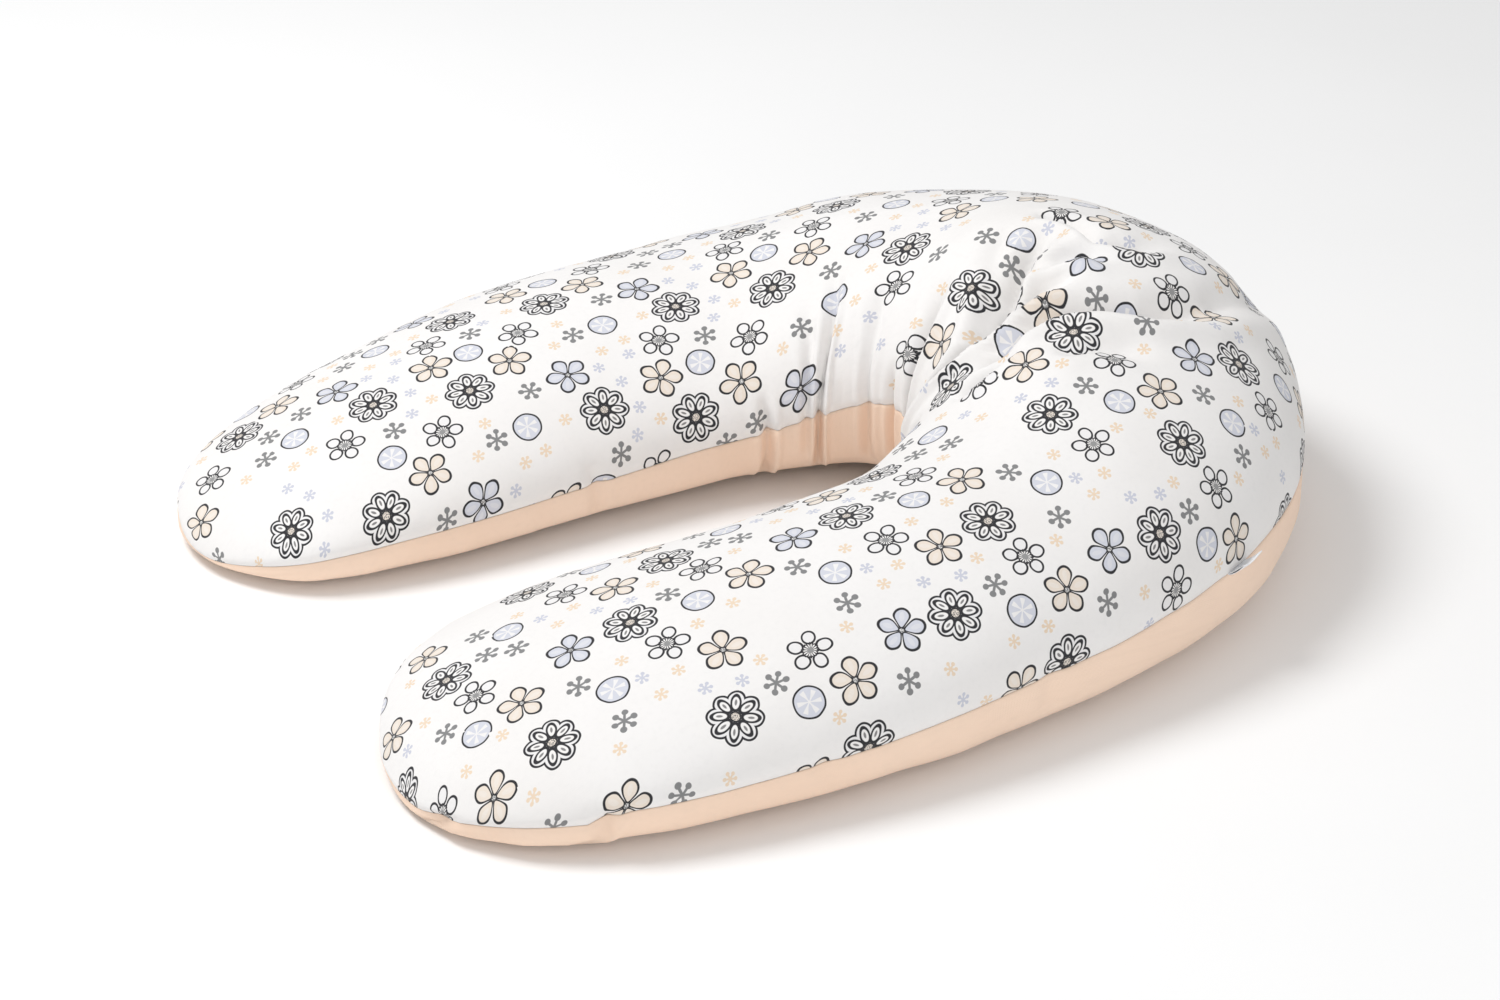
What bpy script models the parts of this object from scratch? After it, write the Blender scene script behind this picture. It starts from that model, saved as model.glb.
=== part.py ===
"""Crescent nursing pillow: removable two-colour cover with a zip, inner liner and bead filling."""

import math

import bmesh
import bpy
import numpy as np
from mathutils import Matrix

for old in list(bpy.data.objects):
    bpy.data.objects.remove(old, do_unlink=True)

# ---------------------------------------------------------------- overall size, metres
OVERALL_LENGTH = 0.690  # tips to the outside of the bend, along X
BEND_HEIGHT = 0.185  # crown of the bend above the floor
FLAT_SINK = 0.003  # how deep the resting face is pressed flat
TIP_LIFT = 0.012  # height of the seam at the very tip of each arm

# ---------------------------------------------------------------- plan shape, per unit of arm length
# Each arm runs from the middle of the bend to its tip. The lists hold evenly spaced values.
FAR_ARM = {
    "length": 0.8564,
    "curve": (4.022, 4.378, 2.559, 0.989, 0.195, 0.196),
    "half_width": (0.187, 0.174, 0.168, 0.161, 0.155, 0.174),
    "height": (1.0, 0.838, 0.707, 0.739, 0.748, 0.751),
    "bluntness": 8.77,
}
NEAR_ARM = {
    "length": 0.8476,
    "curve": (3.820, 4.448, 2.583, 1.060, 0.374, 0.122),
    "half_width": (0.187, 0.163, 0.145, 0.158, 0.172, 0.176),
    "height": (1.0, 0.874, 0.739, 0.723, 0.715, 0.731),
    "bluntness": 11.3,
}
SEAM_HEIGHT_SHARE = (0.398, 0.409, 0.364, 0.531)  # seam height over local height, bend to tip
SIDE_ROUNDNESS = 1.2285  # exponent of the section across
TOP_ROUNDNESS = 0.917  # exponent of the crown
BASE_ROUNDNESS = 0.392  # exponent of the underside
BEND_PINCH = 0.177  # share by which the inside of the bend is gathered in
BEND_PINCH_REACH = 0.218  # how far along the arm the gathering reaches
BEND_EASE = 0.05  # rounds the crown where the two arms meet
TIP_ROUNDING = 24.0  # exponent that lifts the underside near a tip

# ---------------------------------------------------------------- cloth and clearances, metres
CLOTH = 0.0008  # cover cloth with its seam allowance
LINER_CLOTH = 0.0006  # inner bag cloth
SEAM_GAP = 0.0009  # clearance between the two cover panels at the seam
TIP_GAP = 0.0008  # further clearance at the very tips
LINER_DEPTH = 0.003  # inner bag below the cover, at crown and base
LINER_DEPTH_SIDE = 0.0075  # inner bag behind the cover, at the seams
FILL_GAP = 0.0012  # clearance between inner bag and filling, at crown and base
FILL_GAP_SIDE = 0.0025  # the same at the seams and tips
THREAD_RADIUS = 0.0004
THREAD_CLEARANCE = 0.0013  # between the cover cloth and the seam thread

# ---------------------------------------------------------------- zip, metres and degrees
ZIP_BEFORE = 0.045  # along the outer seam, from the middle of the bend towards the near arm
ZIP_AFTER = 0.285  # the same towards the far arm
ZIP_BLEND = 16.0  # angle over which the seam eases into the zip's arc
ZIP_EASE = 3.5  # angle over which the opening narrows to the sewn seam
ZIP_OPENING = 0.011  # between the two cover edges along the zip
ZIP_CLEARANCE = 0.0005  # between sliding pieces of the zip
TAPE_WIDTH = 0.0105
TAPE_THICKNESS = 0.0005
TAPE_BEYOND = 2.5  # angle by which the tape runs past the chain at each end
COIL_RADIUS = 0.0007
COIL_GAP = 0.0014  # between the two coil rows
COIL_INSET = 0.0015  # coil centre below the cover's outer face
SLIDER_LENGTH = 0.011
SLIDER_PLATE = 0.0009
SLIDER_FRONT = 0.0084  # width over the shoulders
SLIDER_REAR = 0.0066
FLANGE = 0.0008
POST_LENGTH = 0.0026
BRIDGE_WIDTH = 0.0014
BRIDGE_BAR = 0.0008
BRIDGE_LEG = 0.0011
TAB_PIN = 0.0010  # thickness of the tab, and of the pin at its eye
TAB_PIN_CLEARANCE = 0.0006
TAB_LENGTH = 0.026
TAB_WIDTH = 0.0062
TAB_EYE = 0.0028  # width of the eye across the bridge
STOP_LENGTH = 0.0024

# ---------------------------------------------------------------- ribbon tag in the outer seam
TAG_ANGLE = -63.0  # about the zip's centre, from the +X axis
TAG_WIDTH = 0.022
TAG_REACH = 0.005  # outwards
TAG_RISE = 0.006  # upwards, where its free end curls
TAG_THICKNESS = 0.0008
TAG_CLEARANCE = 0.0012  # from the cover's seam

# ---------------------------------------------------------------- mesh density
BEND_ROWS = 17  # rows from the middle of the bend to where the arm straightens
ARM_ROWS = 10  # rows from there to the start of the tip
TIP_ROWS = 5
TOP_COLUMNS = 12
BASE_COLUMNS = 10
SEAM_COLUMN = 0.095  # first column above the seam, as a share of a right angle
BASE_COLUMN_EASE = 0.85  # below 1 crowds the base columns towards the seams
LINER_STEP = 2  # the inner bag and filling use every second row


# ================================================================ section of the pillow
def smooth_curve(values, u):
    """Monotone cubic through evenly spaced values on 0..1."""
    y = np.asarray(values, float)
    n = len(y)
    step = 1.0 / (n - 1)
    rise = np.diff(y) / step
    slope = np.zeros(n)
    for i in range(1, n - 1):
        if rise[i - 1] * rise[i] > 0:
            slope[i] = 2 * rise[i - 1] * rise[i] / (rise[i - 1] + rise[i])
    slope[0] = end_slope(rise[0], rise[1])
    slope[-1] = end_slope(rise[-1], rise[-2])
    u = np.clip(np.asarray(u, float), 0, 1)
    i = np.minimum((u / step).astype(int), n - 2)
    t = u / step - i
    low = (1 + 2 * t) * (1 - t) ** 2 * y[i] + t * (1 - t) ** 2 * step * slope[i]
    high = t * t * (3 - 2 * t) * y[i + 1] + t * t * (t - 1) * step * slope[i + 1]
    return low + high


def end_slope(near, far):
    slope = (3 * near - far) / 2
    if slope * near <= 0:
        return 0.0
    if near * far <= 0 and abs(slope) > 3 * abs(near):
        return 3 * near
    return slope


def rows_of(arm):
    """Places along an arm, 0 at the bend and 1 at the tip, closer together round the tip."""
    bend = 0.36
    start = 0.84
    straight = np.linspace(0, bend, BEND_ROWS + 1)
    straight = np.concatenate([straight, np.linspace(bend, start, ARM_ROWS + 1)[1:]])
    first = math.asin(start ** (arm["bluntness"] / 2))
    tip = np.linspace(first, math.pi / 2, TIP_ROWS + 1)[1:]
    return np.concatenate([straight, np.sin(tip) ** (2 / arm["bluntness"])])


def centreline(arm, u):
    """Plan position and heading at each u, for an arm that starts at the origin and bends to -X."""
    fine = np.linspace(0, 1, 801)
    bend = smooth_curve(arm["curve"], fine)
    step = arm["length"] / 800
    turn = np.concatenate([[0], np.cumsum((bend[1:] + bend[:-1]) / 2 * step)])
    head = np.stack([-np.sin(turn), np.cos(turn)], 1)
    place = np.concatenate([[[0, 0]], np.cumsum((head[1:] + head[:-1]) / 2 * step, 0)])
    at = np.stack([np.interp(u, fine, place[:, k]) for k in (0, 1)], 1)
    heading = np.stack([np.interp(u, fine, head[:, k]) for k in (0, 1)], 1)
    return at, heading / np.linalg.norm(heading, axis=1, keepdims=True)


def columns():
    """Angles round the section: 0 at the outer seam, 90 the crown, 180 the inner seam, 270 the base."""
    even = np.linspace(0.5 / TOP_COLUMNS, 1 - 0.5 / TOP_COLUMNS, TOP_COLUMNS)
    even = even[1:-1]
    close = SEAM_COLUMN / 2
    top = math.pi * np.concatenate([[0, close], even, [1 - close, 1]])
    ease = np.linspace(-1, 1, BASE_COLUMNS + 1)
    base = math.pi * 1.5 + math.pi / 2 * np.sign(ease) * np.abs(ease) ** BASE_COLUMN_EASE
    return top, base


def arm_grid(arm, side, angles, scale, height, inset):
    """Points of one arm's surface, rows from bend to tip, one column per section angle.

    inset is (at the seams, at crown and base): how far the surface lies below the cover."""
    u = rows_of(arm)
    length = arm["length"] * scale
    inner = u * (length - inset[0]) / length
    at, heading = centreline(arm, inner)
    blunt = np.sqrt(np.maximum(0, 1 - u ** arm["bluntness"]))
    eased = np.hypot(inner, BEND_EASE) - BEND_EASE
    half = smooth_curve(arm["half_width"], eased) * scale
    pinch = 1 - BEND_PINCH * np.exp(-((inner / BEND_PINCH_REACH) ** 2))
    outer_half = (half - inset[0]) * blunt
    inner_half = (half * pinch - inset[0]) * blunt
    local = smooth_curve(arm["height"], eased) * height
    share = smooth_curve(SEAM_HEIGHT_SHARE, inner)
    seam = local * share * np.sqrt(np.maximum(0, 1 - inner * inner))
    seam = np.hypot(seam, TIP_LIFT * inner**6)
    crown = (local * (1 - share) - inset[1]) * np.sqrt(np.maximum(0, 1 - u * u))
    base = (seam - inset[1]) * np.sqrt(np.maximum(0, 1 - u**TIP_ROUNDING))
    c = np.cos(angles)
    s = np.sin(angles)
    c[np.abs(c) < 1e-9] = 0
    s[np.abs(s) < 1e-9] = 0
    across = np.sign(c) * np.abs(c) ** SIDE_ROUNDNESS
    across = across * np.where(across < 0, inner_half[:, None], outer_half[:, None])
    up = np.where(s > 0, np.abs(s) ** TOP_ROUNDNESS, 0)
    down = np.where(s < 0, np.abs(s) ** BASE_ROUNDNESS, 0)
    z = seam[:, None] + crown[:, None] * up - base[:, None] * down
    outward = np.stack([heading[:, 1], -heading[:, 0]], 1)
    x = at[:, 0][:, None] * scale + across * outward[:, 0][:, None]
    y = (at[:, 1][:, None] * scale + across * outward[:, 1][:, None]) * side
    return np.stack([x, y, z], -1)


def both_arms(angles, scale, height, inset=(0.0, 0.0)):
    near = arm_grid(NEAR_ARM, -1, angles.copy(), scale, height, inset)
    far = arm_grid(FAR_ARM, 1, angles.copy(), scale, height, inset)
    return np.concatenate([near[::-1], far[1:]])


def plan_scale():
    """Metres per unit of the plan lists, and the shift that centres the pillow on the origin."""
    grid = both_arms(np.linspace(0, 2 * math.pi, 73), 1.0, 1.0)
    low = grid.reshape(-1, 3).min(0)
    high = grid.reshape(-1, 3).max(0)
    scale = OVERALL_LENGTH / (high[0] - low[0])
    return scale, -(low + high)[:2] / 2 * scale


SCALE, SHIFT = plan_scale()
TOP_ANGLES, BASE_ANGLES = columns()
HALF_SEAM = SEAM_GAP / 2


def pressed(z):
    """The base pressed flat where it rests."""
    return np.maximum(0, z - FLAT_SINK * np.exp(-z / (5 * FLAT_SINK)))


def placed(angles, inset=(0.0, 0.0)):
    grid = both_arms(angles, SCALE, BEND_HEIGHT, inset)
    grid[..., :2] += SHIFT
    if not inset[1]:
        grid[..., 2] = pressed(grid[..., 2])
    return grid


def fitted_circle(points):
    """Centre and radius of the circle nearest the plan points."""
    table = np.column_stack([2 * points[:, :2], np.ones(len(points))])
    solved = np.linalg.lstsq(table, (points[:, :2] ** 2).sum(1), rcond=None)[0]
    return solved[:2], math.sqrt(solved[2] + solved[:2] @ solved[:2])


def zip_arc():
    """Centre, radius, height and end angles of the arc that the outer seam follows along the zip."""
    seam = placed(np.array([0.0]))[:, 0]
    along = np.concatenate([[0], np.cumsum(np.linalg.norm(np.diff(seam, axis=0), axis=1))])
    along -= along[len(seam) // 2]
    zone = (along > -ZIP_BEFORE) & (along < ZIP_AFTER)
    centre, radius = fitted_circle(seam[zone])
    angle = np.degrees(np.arctan2(seam[:, 1] - centre[1], seam[:, 0] - centre[0]))
    ends = np.interp((-ZIP_BEFORE, ZIP_AFTER), along, angle)
    return centre, radius, seam[zone, 2].mean(), ends


ZIP_CENTRE, ZIP_RADIUS, ZIP_HEIGHT, (ZIP_FROM, ZIP_TO) = zip_arc()


def zone_weight(angle, beyond, ease):
    """1 along the zip and a little beyond each of its ends, easing to 0 from there."""
    past = np.maximum(ZIP_FROM - angle, angle - ZIP_TO) - beyond
    t = np.clip(1 - past / ease, 0, 1)
    return t * t * (3 - 2 * t)


def surface(angles, side=0, inset=(0.0, 0.0)):
    """A closed or half surface. side is 1 for an upper panel, -1 for a lower one, 0 for neither."""
    grid = placed(angles, inset)
    seam = placed(np.array([0.0]))[:, 0]
    arm = seam[:, :2] - ZIP_CENTRE
    angle = np.degrees(np.arctan2(arm[:, 1], arm[:, 0]))
    radial = arm / np.linalg.norm(arm, axis=1, keepdims=True)
    pull = zone_weight(angle, TAPE_BEYOND, ZIP_BLEND) * (seam[:, 0] > ZIP_CENTRE[0])
    out = (ZIP_RADIUS - np.linalg.norm(arm, axis=1)) * pull
    lift = (ZIP_HEIGHT - seam[:, 2]) * pull
    share = np.maximum(0, np.cos(angles)) ** 2
    grid[..., :2] += (out[:, None] * radial)[:, None, :] * share[None, :, None]
    above_floor = np.minimum(1, grid[..., 2] / seam[:, 2][:, None])
    grid[..., 2] += lift[:, None] * share[None, :] * above_floor
    if side:
        opening = np.full(len(seam), HALF_SEAM)
        if not inset[0]:
            zone = zone_weight(angle, 0.0, ZIP_EASE) * (seam[:, 0] > ZIP_CENTRE[0])
            opening += (ZIP_OPENING / 2 - HALF_SEAM) * zone
        outer_edge = 0 if side > 0 else -1
        inner_edge = -1 if side > 0 else 0
        grid[:, outer_edge, 2] += side * opening
        grid[1:-1, inner_edge, 2] += side * HALF_SEAM
        for tip in (0, -1):
            grid[tip, :, 2] = grid[tip, outer_edge, 2] + side * TIP_GAP / 2
            grid[tip, :, :2] = grid[tip, outer_edge, :2]
    return grid


# ================================================================ objects
def collection(name, hidden):
    made = bpy.data.collections.new(name)
    bpy.context.scene.collection.children.link(made)
    made.hide_render = hidden
    return made


PILLOW = collection("nursing_pillow", False)
HELPERS = collection("zip_slider_shapes", True)


def material(name, colour, roughness, metallic=0.0):
    made = bpy.data.materials.new(name)
    made.use_nodes = True
    shader = made.node_tree.nodes["Principled BSDF"]
    shader.inputs["Base Color"].default_value = (*colour, 1.0)
    shader.inputs["Roughness"].default_value = roughness
    shader.inputs["Metallic"].default_value = metallic
    made.diffuse_color = (*colour, 1.0)
    return made


PRINTED_COTTON = material("printed_cotton", (0.87, 0.855, 0.82), 0.9)
PEACH_COTTON = material("peach_cotton", (0.86, 0.60, 0.42), 0.9)
LINER_COTTON = material("liner_cotton", (0.82, 0.81, 0.78), 0.92)
FOAM_BEADS = material("foam_beads", (0.9, 0.9, 0.9), 0.8)
ZIP_TAPE = material("zip_tape", (0.84, 0.66, 0.50), 0.85)
ZIP_COIL = material("zip_coil", (0.84, 0.68, 0.53), 0.45)
ZINC = material("zinc", (0.62, 0.61, 0.58), 0.35, 1.0)
RIBBON = material("ribbon", (0.86, 0.88, 0.92), 0.6)
THREAD = material("thread", (0.85, 0.62, 0.45), 0.7)


def linked(name, data, paint, group=None):
    obj = bpy.data.objects.new(name, data)
    (group or PILLOW).objects.link(obj)
    data.materials.append(paint)
    return obj


def smooth(obj):
    for face in obj.data.polygons:
        face.use_smooth = True


def draped(name, grid, paint, thickness):
    """A flat grid laid over the given points, then thickened inwards where a thickness is given."""
    rows, cols = grid.shape[:2]
    mesh = bpy.data.meshes.new(name)
    cloth = bmesh.new()
    bmesh.ops.create_grid(cloth, x_segments=rows - 1, y_segments=cols - 1, size=1.0)
    for vert in cloth.verts:
        i = round((vert.co.x + 1) / 2 * (rows - 1))
        j = round((vert.co.y + 1) / 2 * (cols - 1))
        vert.co = grid[i, j]
    bmesh.ops.remove_doubles(cloth, verts=cloth.verts, dist=1e-6)
    bmesh.ops.triangulate(cloth, faces=cloth.faces, quad_method="FIXED")
    cloth.to_mesh(mesh)
    cloth.free()
    obj = linked(name, mesh, paint)
    smooth(obj)
    if thickness:
        shell = obj.modifiers.new("cloth", "SOLIDIFY")
        shell.thickness = thickness
        shell.offset = -1
        shell.use_rim = True
    return obj


def coarser(grid):
    """Fewer rows, with the middle of the bend and the rows round both tips kept."""
    last = grid.shape[0] - 1
    middle = last // 2
    from_middle = set(range(0, middle, LINER_STEP)) | {middle - 1, middle}
    return grid[sorted({middle + k for k in from_middle} | {middle - k for k in from_middle})]


# ---------------------------------------------------------------- cover, inner bag and filling
ALL_ANGLES = np.concatenate([TOP_ANGLES, BASE_ANGLES[1:]])
BAG_INSET = (LINER_DEPTH_SIDE, LINER_DEPTH)
FILL_INSET = (
    LINER_DEPTH_SIDE + LINER_CLOTH + FILL_GAP_SIDE,
    LINER_DEPTH + LINER_CLOTH + FILL_GAP,
)
draped("cover_top_panel", surface(TOP_ANGLES, 1), PRINTED_COTTON, CLOTH)
draped("cover_bottom_panel", surface(BASE_ANGLES, -1), PEACH_COTTON, CLOTH)
bag_top = coarser(surface(TOP_ANGLES, 1, BAG_INSET))
bag_base = coarser(surface(BASE_ANGLES, -1, BAG_INSET))
draped("liner_top_panel", bag_top, LINER_COTTON, LINER_CLOTH)
draped("liner_bottom_panel", bag_base, LINER_COTTON, LINER_CLOTH)
draped("bead_filling", coarser(surface(ALL_ANGLES, 0, FILL_INSET)), FOAM_BEADS, 0)


# ---------------------------------------------------------------- seam thread
def rod(name, points, radius, paint, group=None, sides=1):
    """A round bar along a line of points, closed at both ends."""
    curve = bpy.data.curves.new(name, "CURVE")
    curve.dimensions = "3D"
    curve.bevel_depth = radius
    curve.bevel_resolution = sides
    curve.use_fill_caps = True
    line = curve.splines.new("POLY")
    line.points.add(len(points) - 1)
    for point, place in zip(line.points, points):
        point.co = (*place, 1.0)
    return linked(name, curve, paint, group)


def seam_run():
    """The seam just inside the cover, from one end of the zip round both arms to the other."""
    angles = np.array([0.0, math.pi])
    depth = CLOTH + THREAD_CLEARANCE + THREAD_RADIUS
    grid = surface(np.array([0.0, math.pi]), 0, (depth, depth))
    outer = grid[:, 0]
    inner = grid[:, 1]
    arm = outer[:, :2] - ZIP_CENTRE
    angle = np.degrees(np.arctan2(arm[:, 1], arm[:, 0]))
    clear = ZIP_EASE + 1.0
    behind = outer[:, 0] < ZIP_CENTRE[0]
    near = outer[(behind & (outer[:, 1] < 0)) | (~behind & (angle < ZIP_FROM - clear))]
    far = outer[(behind & (outer[:, 1] > 0)) | (~behind & (angle > ZIP_TO + clear))]
    return np.concatenate([near[::-1], inner[1:-1], far[::-1]])


rod("cover_seam_thread", seam_run(), THREAD_RADIUS, THREAD, sides=0)


# ================================================================ zip
CHAIN_RADIUS = ZIP_RADIUS - COIL_INSET
TAPE_OUTER = CHAIN_RADIUS - COIL_RADIUS - ZIP_CLEARANCE
COIL_OFFSET = COIL_GAP / 2 + COIL_RADIUS
TAPE_EDGE = COIL_GAP / 2 + 0.0002


def turned(name, profile, start, end, paint):
    """A profile in (radius, height) turned about the zip's axis between two angles."""
    mesh = bpy.data.meshes.new(name)
    shape = bmesh.new()
    verts = [shape.verts.new((r, 0, z)) for r, z in profile]
    shape.faces.new(verts)
    arc = math.radians(end - start)
    steps = max(2, round(abs(end - start) / 2.2))
    bmesh.ops.spin(
        shape,
        geom=shape.verts[:] + shape.edges[:] + shape.faces[:],
        cent=(0, 0, 0),
        axis=(0, 0, 1),
        angle=arc,
        steps=steps,
        use_merge=False,
    )
    bmesh.ops.recalc_face_normals(shape, faces=shape.faces)
    shape.to_mesh(mesh)
    shape.free()
    obj = linked(name, mesh, paint)
    obj.location = (*ZIP_CENTRE, ZIP_HEIGHT)
    obj.rotation_euler = (0, 0, math.radians(start))
    return obj


def tape(name, side):
    low, high = sorted((side * TAPE_EDGE, side * TAPE_WIDTH))
    profile = [
        (TAPE_OUTER - TAPE_THICKNESS, low),
        (TAPE_OUTER, low),
        (TAPE_OUTER, high),
        (TAPE_OUTER - TAPE_THICKNESS, high),
    ]
    return turned(name, profile, ZIP_FROM - TAPE_BEYOND, ZIP_TO + TAPE_BEYOND, ZIP_TAPE)


def arc_angle(length):
    return math.degrees(length / CHAIN_RADIUS)


def coil(name, side):
    profile = []
    for k in range(6):
        turn = math.radians(60 * k + 30)
        r = CHAIN_RADIUS + COIL_RADIUS * math.cos(turn)
        z = side * COIL_OFFSET + COIL_RADIUS * math.sin(turn)
        profile.append((r, z))
    return turned(name, profile, CHAIN_FROM, CHAIN_TO, ZIP_COIL)


STOP_ANGLE = arc_angle(STOP_LENGTH)
GAP_ANGLE = arc_angle(ZIP_CLEARANCE)
CHAIN_FROM = ZIP_FROM + STOP_ANGLE + GAP_ANGLE
CHAIN_TO = ZIP_TO - STOP_ANGLE - GAP_ANGLE
tape("zip_tape_upper", 1)
tape("zip_tape_lower", -1)
coil("zip_coil_upper", 1)
coil("zip_coil_lower", -1)


def zip_frame(angle):
    """Frame on the zip's arc: X along the chain, Y outwards, Z up."""
    turn = math.radians(angle)
    out = (math.cos(turn), math.sin(turn))
    origin = (ZIP_CENTRE[0] + CHAIN_RADIUS * out[0], ZIP_CENTRE[1] + CHAIN_RADIUS * out[1])
    return Matrix(
        (
            (out[1], out[0], 0, origin[0]),
            (-out[0], out[1], 0, origin[1]),
            (0, 0, 1, ZIP_HEIGHT),
            (0, 0, 0, 1),
        )
    )


def block(name, low, high, paint, group, bevel=0.0):
    """A box between two corners, with its edges rounded where a bevel is given."""
    mesh = bpy.data.meshes.new(name)
    shape = bmesh.new()
    bmesh.ops.create_cube(shape, size=1.0)
    for vert in shape.verts:
        for k in range(3):
            vert.co[k] = low[k] if vert.co[k] < 0 else high[k]
    shape.to_mesh(mesh)
    shape.free()
    obj = linked(name, mesh, paint, group)
    if bevel:
        rounding = obj.modifiers.new("edges", "BEVEL")
        rounding.width = bevel
        rounding.segments = 1
        rounding.limit_method = "ANGLE"
    return obj


def stop(name, side_low, side_high, angle):
    half = STOP_LENGTH / 2
    obj = block(
        name,
        (-half, -COIL_RADIUS, side_low),
        (half, COIL_RADIUS, side_high),
        ZINC,
        PILLOW,
        0.0002,
    )
    obj.matrix_world = zip_frame(angle)
    return obj


STOP_REACH = COIL_OFFSET + COIL_RADIUS
stop("zip_top_stop_upper", COIL_GAP / 2, STOP_REACH, ZIP_FROM + STOP_ANGLE / 2)
stop("zip_top_stop_lower", -STOP_REACH, -COIL_GAP / 2, ZIP_FROM + STOP_ANGLE / 2)
stop("zip_bottom_stop", -STOP_REACH, STOP_REACH, ZIP_TO - STOP_ANGLE / 2)

# ---------------------------------------------------------------- slider
PLATE_LOW = COIL_RADIUS + ZIP_CLEARANCE
PLATE_HIGH = PLATE_LOW + SLIDER_PLATE
BACK_HIGH = -(COIL_RADIUS + ZIP_CLEARANCE + TAPE_THICKNESS + ZIP_CLEARANCE)
BACK_LOW = BACK_HIGH - SLIDER_PLATE
FLANGE_LOW = -COIL_RADIUS
FLANGE_IN = STOP_REACH + ZIP_CLEARANCE
FLANGE_OUT = FLANGE_IN + FLANGE
POST_HALF = COIL_GAP / 2 - ZIP_CLEARANCE * 0.6
PIN_HEIGHT = PLATE_HIGH + TAB_PIN / 2 + TAB_PIN_CLEARANCE
BAR_LOW = PIN_HEIGHT + TAB_PIN / 2 + TAB_PIN_CLEARANCE
BAR_HIGH = BAR_LOW + BRIDGE_BAR
LEG_IN = TAB_PIN / 2 + TAB_PIN_CLEARANCE
LEG_OUT = LEG_IN + BRIDGE_LEG
OVERLAP = 0.0002
HALF_LENGTH = SLIDER_LENGTH / 2
SLIDER_ANGLE = CHAIN_FROM + arc_angle(HALF_LENGTH + ZIP_CLEARANCE)


def plate(name, low, high):
    """A slider plate: wide at the shoulders, which face the top stops, and narrow at the tail."""
    front = SLIDER_FRONT / 2
    rear = max(SLIDER_REAR / 2, FLANGE_OUT)
    half = HALF_LENGTH
    outline = [
        (-half, -rear),
        (-half, rear),
        (-half * 0.1, rear),
        (half * 0.45, front),
        (half, front * 0.8),
        (half, -front * 0.8),
        (half * 0.45, -front),
        (-half * 0.1, -rear),
    ]
    curve = bpy.data.curves.new(name, "CURVE")
    curve.dimensions = "2D"
    curve.fill_mode = "BOTH"
    curve.extrude = (high - low) / 2
    line = curve.splines.new("POLY")
    line.points.add(len(outline) - 1)
    for point, (x, z) in zip(line.points, outline):
        point.co = (x, z, 0, 1)
    line.use_cyclic_u = True
    obj = bpy.data.objects.new(name + "_outline", curve)
    HELPERS.objects.link(obj)
    graph = bpy.context.evaluated_depsgraph_get()
    mesh = bpy.data.meshes.new_from_object(obj.evaluated_get(graph))
    bpy.data.objects.remove(obj, do_unlink=True)
    upright = Matrix.Translation((0, (low + high) / 2, 0)) @ Matrix.Rotation(math.pi / 2, 4, "X")
    mesh.transform(upright)
    made = bmesh.new()
    made.from_mesh(mesh)
    bmesh.ops.remove_doubles(made, verts=made.verts, dist=1e-6)
    bmesh.ops.recalc_face_normals(made, faces=made.faces)
    made.to_mesh(mesh)
    made.free()
    return linked(name, mesh, ZINC, HELPERS)


slider = plate("zip_slider", PLATE_LOW, PLATE_HIGH)
HELPERS.objects.unlink(slider)
PILLOW.objects.link(slider)
pieces = [plate("slider_back_plate", BACK_LOW, BACK_HIGH)]
POST_END = HALF_LENGTH * 0.9
pieces.append(
    block(
        "slider_post",
        (POST_END - POST_LENGTH, BACK_LOW + OVERLAP, -POST_HALF),
        (POST_END, PLATE_HIGH - OVERLAP, POST_HALF),
        ZINC,
        HELPERS,
    )
)
for side in (-1, 1):
    edges = sorted((side * FLANGE_IN, side * FLANGE_OUT))
    pieces.append(
        block(
            "slider_flange",
            (-HALF_LENGTH + OVERLAP, FLANGE_LOW, edges[0]),
            (HALF_LENGTH * 0.7, PLATE_HIGH - OVERLAP, edges[1]),
            ZINC,
            HELPERS,
        )
    )
for side in (-1, 1):
    edges = sorted((side * LEG_IN, side * LEG_OUT))
    pieces.append(
        block(
            "slider_bridge_leg",
            (edges[0], PLATE_LOW + OVERLAP, -BRIDGE_WIDTH / 2),
            (edges[1], BAR_HIGH - OVERLAP, BRIDGE_WIDTH / 2),
            ZINC,
            HELPERS,
        )
    )
pieces.append(
    block(
        "slider_bridge_bar",
        (-LEG_OUT + OVERLAP / 2, BAR_LOW, -BRIDGE_WIDTH / 2 + OVERLAP / 4),
        (LEG_OUT - OVERLAP / 2, BAR_HIGH, BRIDGE_WIDTH / 2 - OVERLAP / 4),
        ZINC,
        HELPERS,
    )
)
for piece in pieces:
    piece.display_type = "WIRE"
    piece.hide_render = True
    joined = slider.modifiers.new(piece.name, "BOOLEAN")
    joined.operation = "UNION"
    joined.solver = "EXACT"
    joined.object = piece
SLIDER_FRAME = zip_frame(SLIDER_ANGLE)
for obj in [slider] + pieces:
    obj.matrix_world = SLIDER_FRAME

# ---------------------------------------------------------------- pull tab
EYE_LENGTH = LEG_OUT + BAR_HIGH - PIN_HEIGHT + TAB_PIN_CLEARANCE
EYE_START = TAB_PIN / 2
EYE_END = max(LEG_OUT + TAB_PIN_CLEARANCE, EYE_START + EYE_LENGTH * 0.8)
TAB_START = -TAB_PIN / 2


def tab_outline():
    half = TAB_WIDTH / 2
    outer = [(TAB_START, -half), (TAB_START, half)]
    round_from = TAB_LENGTH - half
    for k in range(9):
        turn = math.radians(90 - 22.5 * k)
        outer.append((round_from + half * math.cos(turn), half * math.sin(turn)))
    eye = [
        (EYE_START, -TAB_EYE / 2),
        (EYE_END, -TAB_EYE / 2),
        (EYE_END, TAB_EYE / 2),
        (EYE_START, TAB_EYE / 2),
    ]
    return outer, eye


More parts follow.
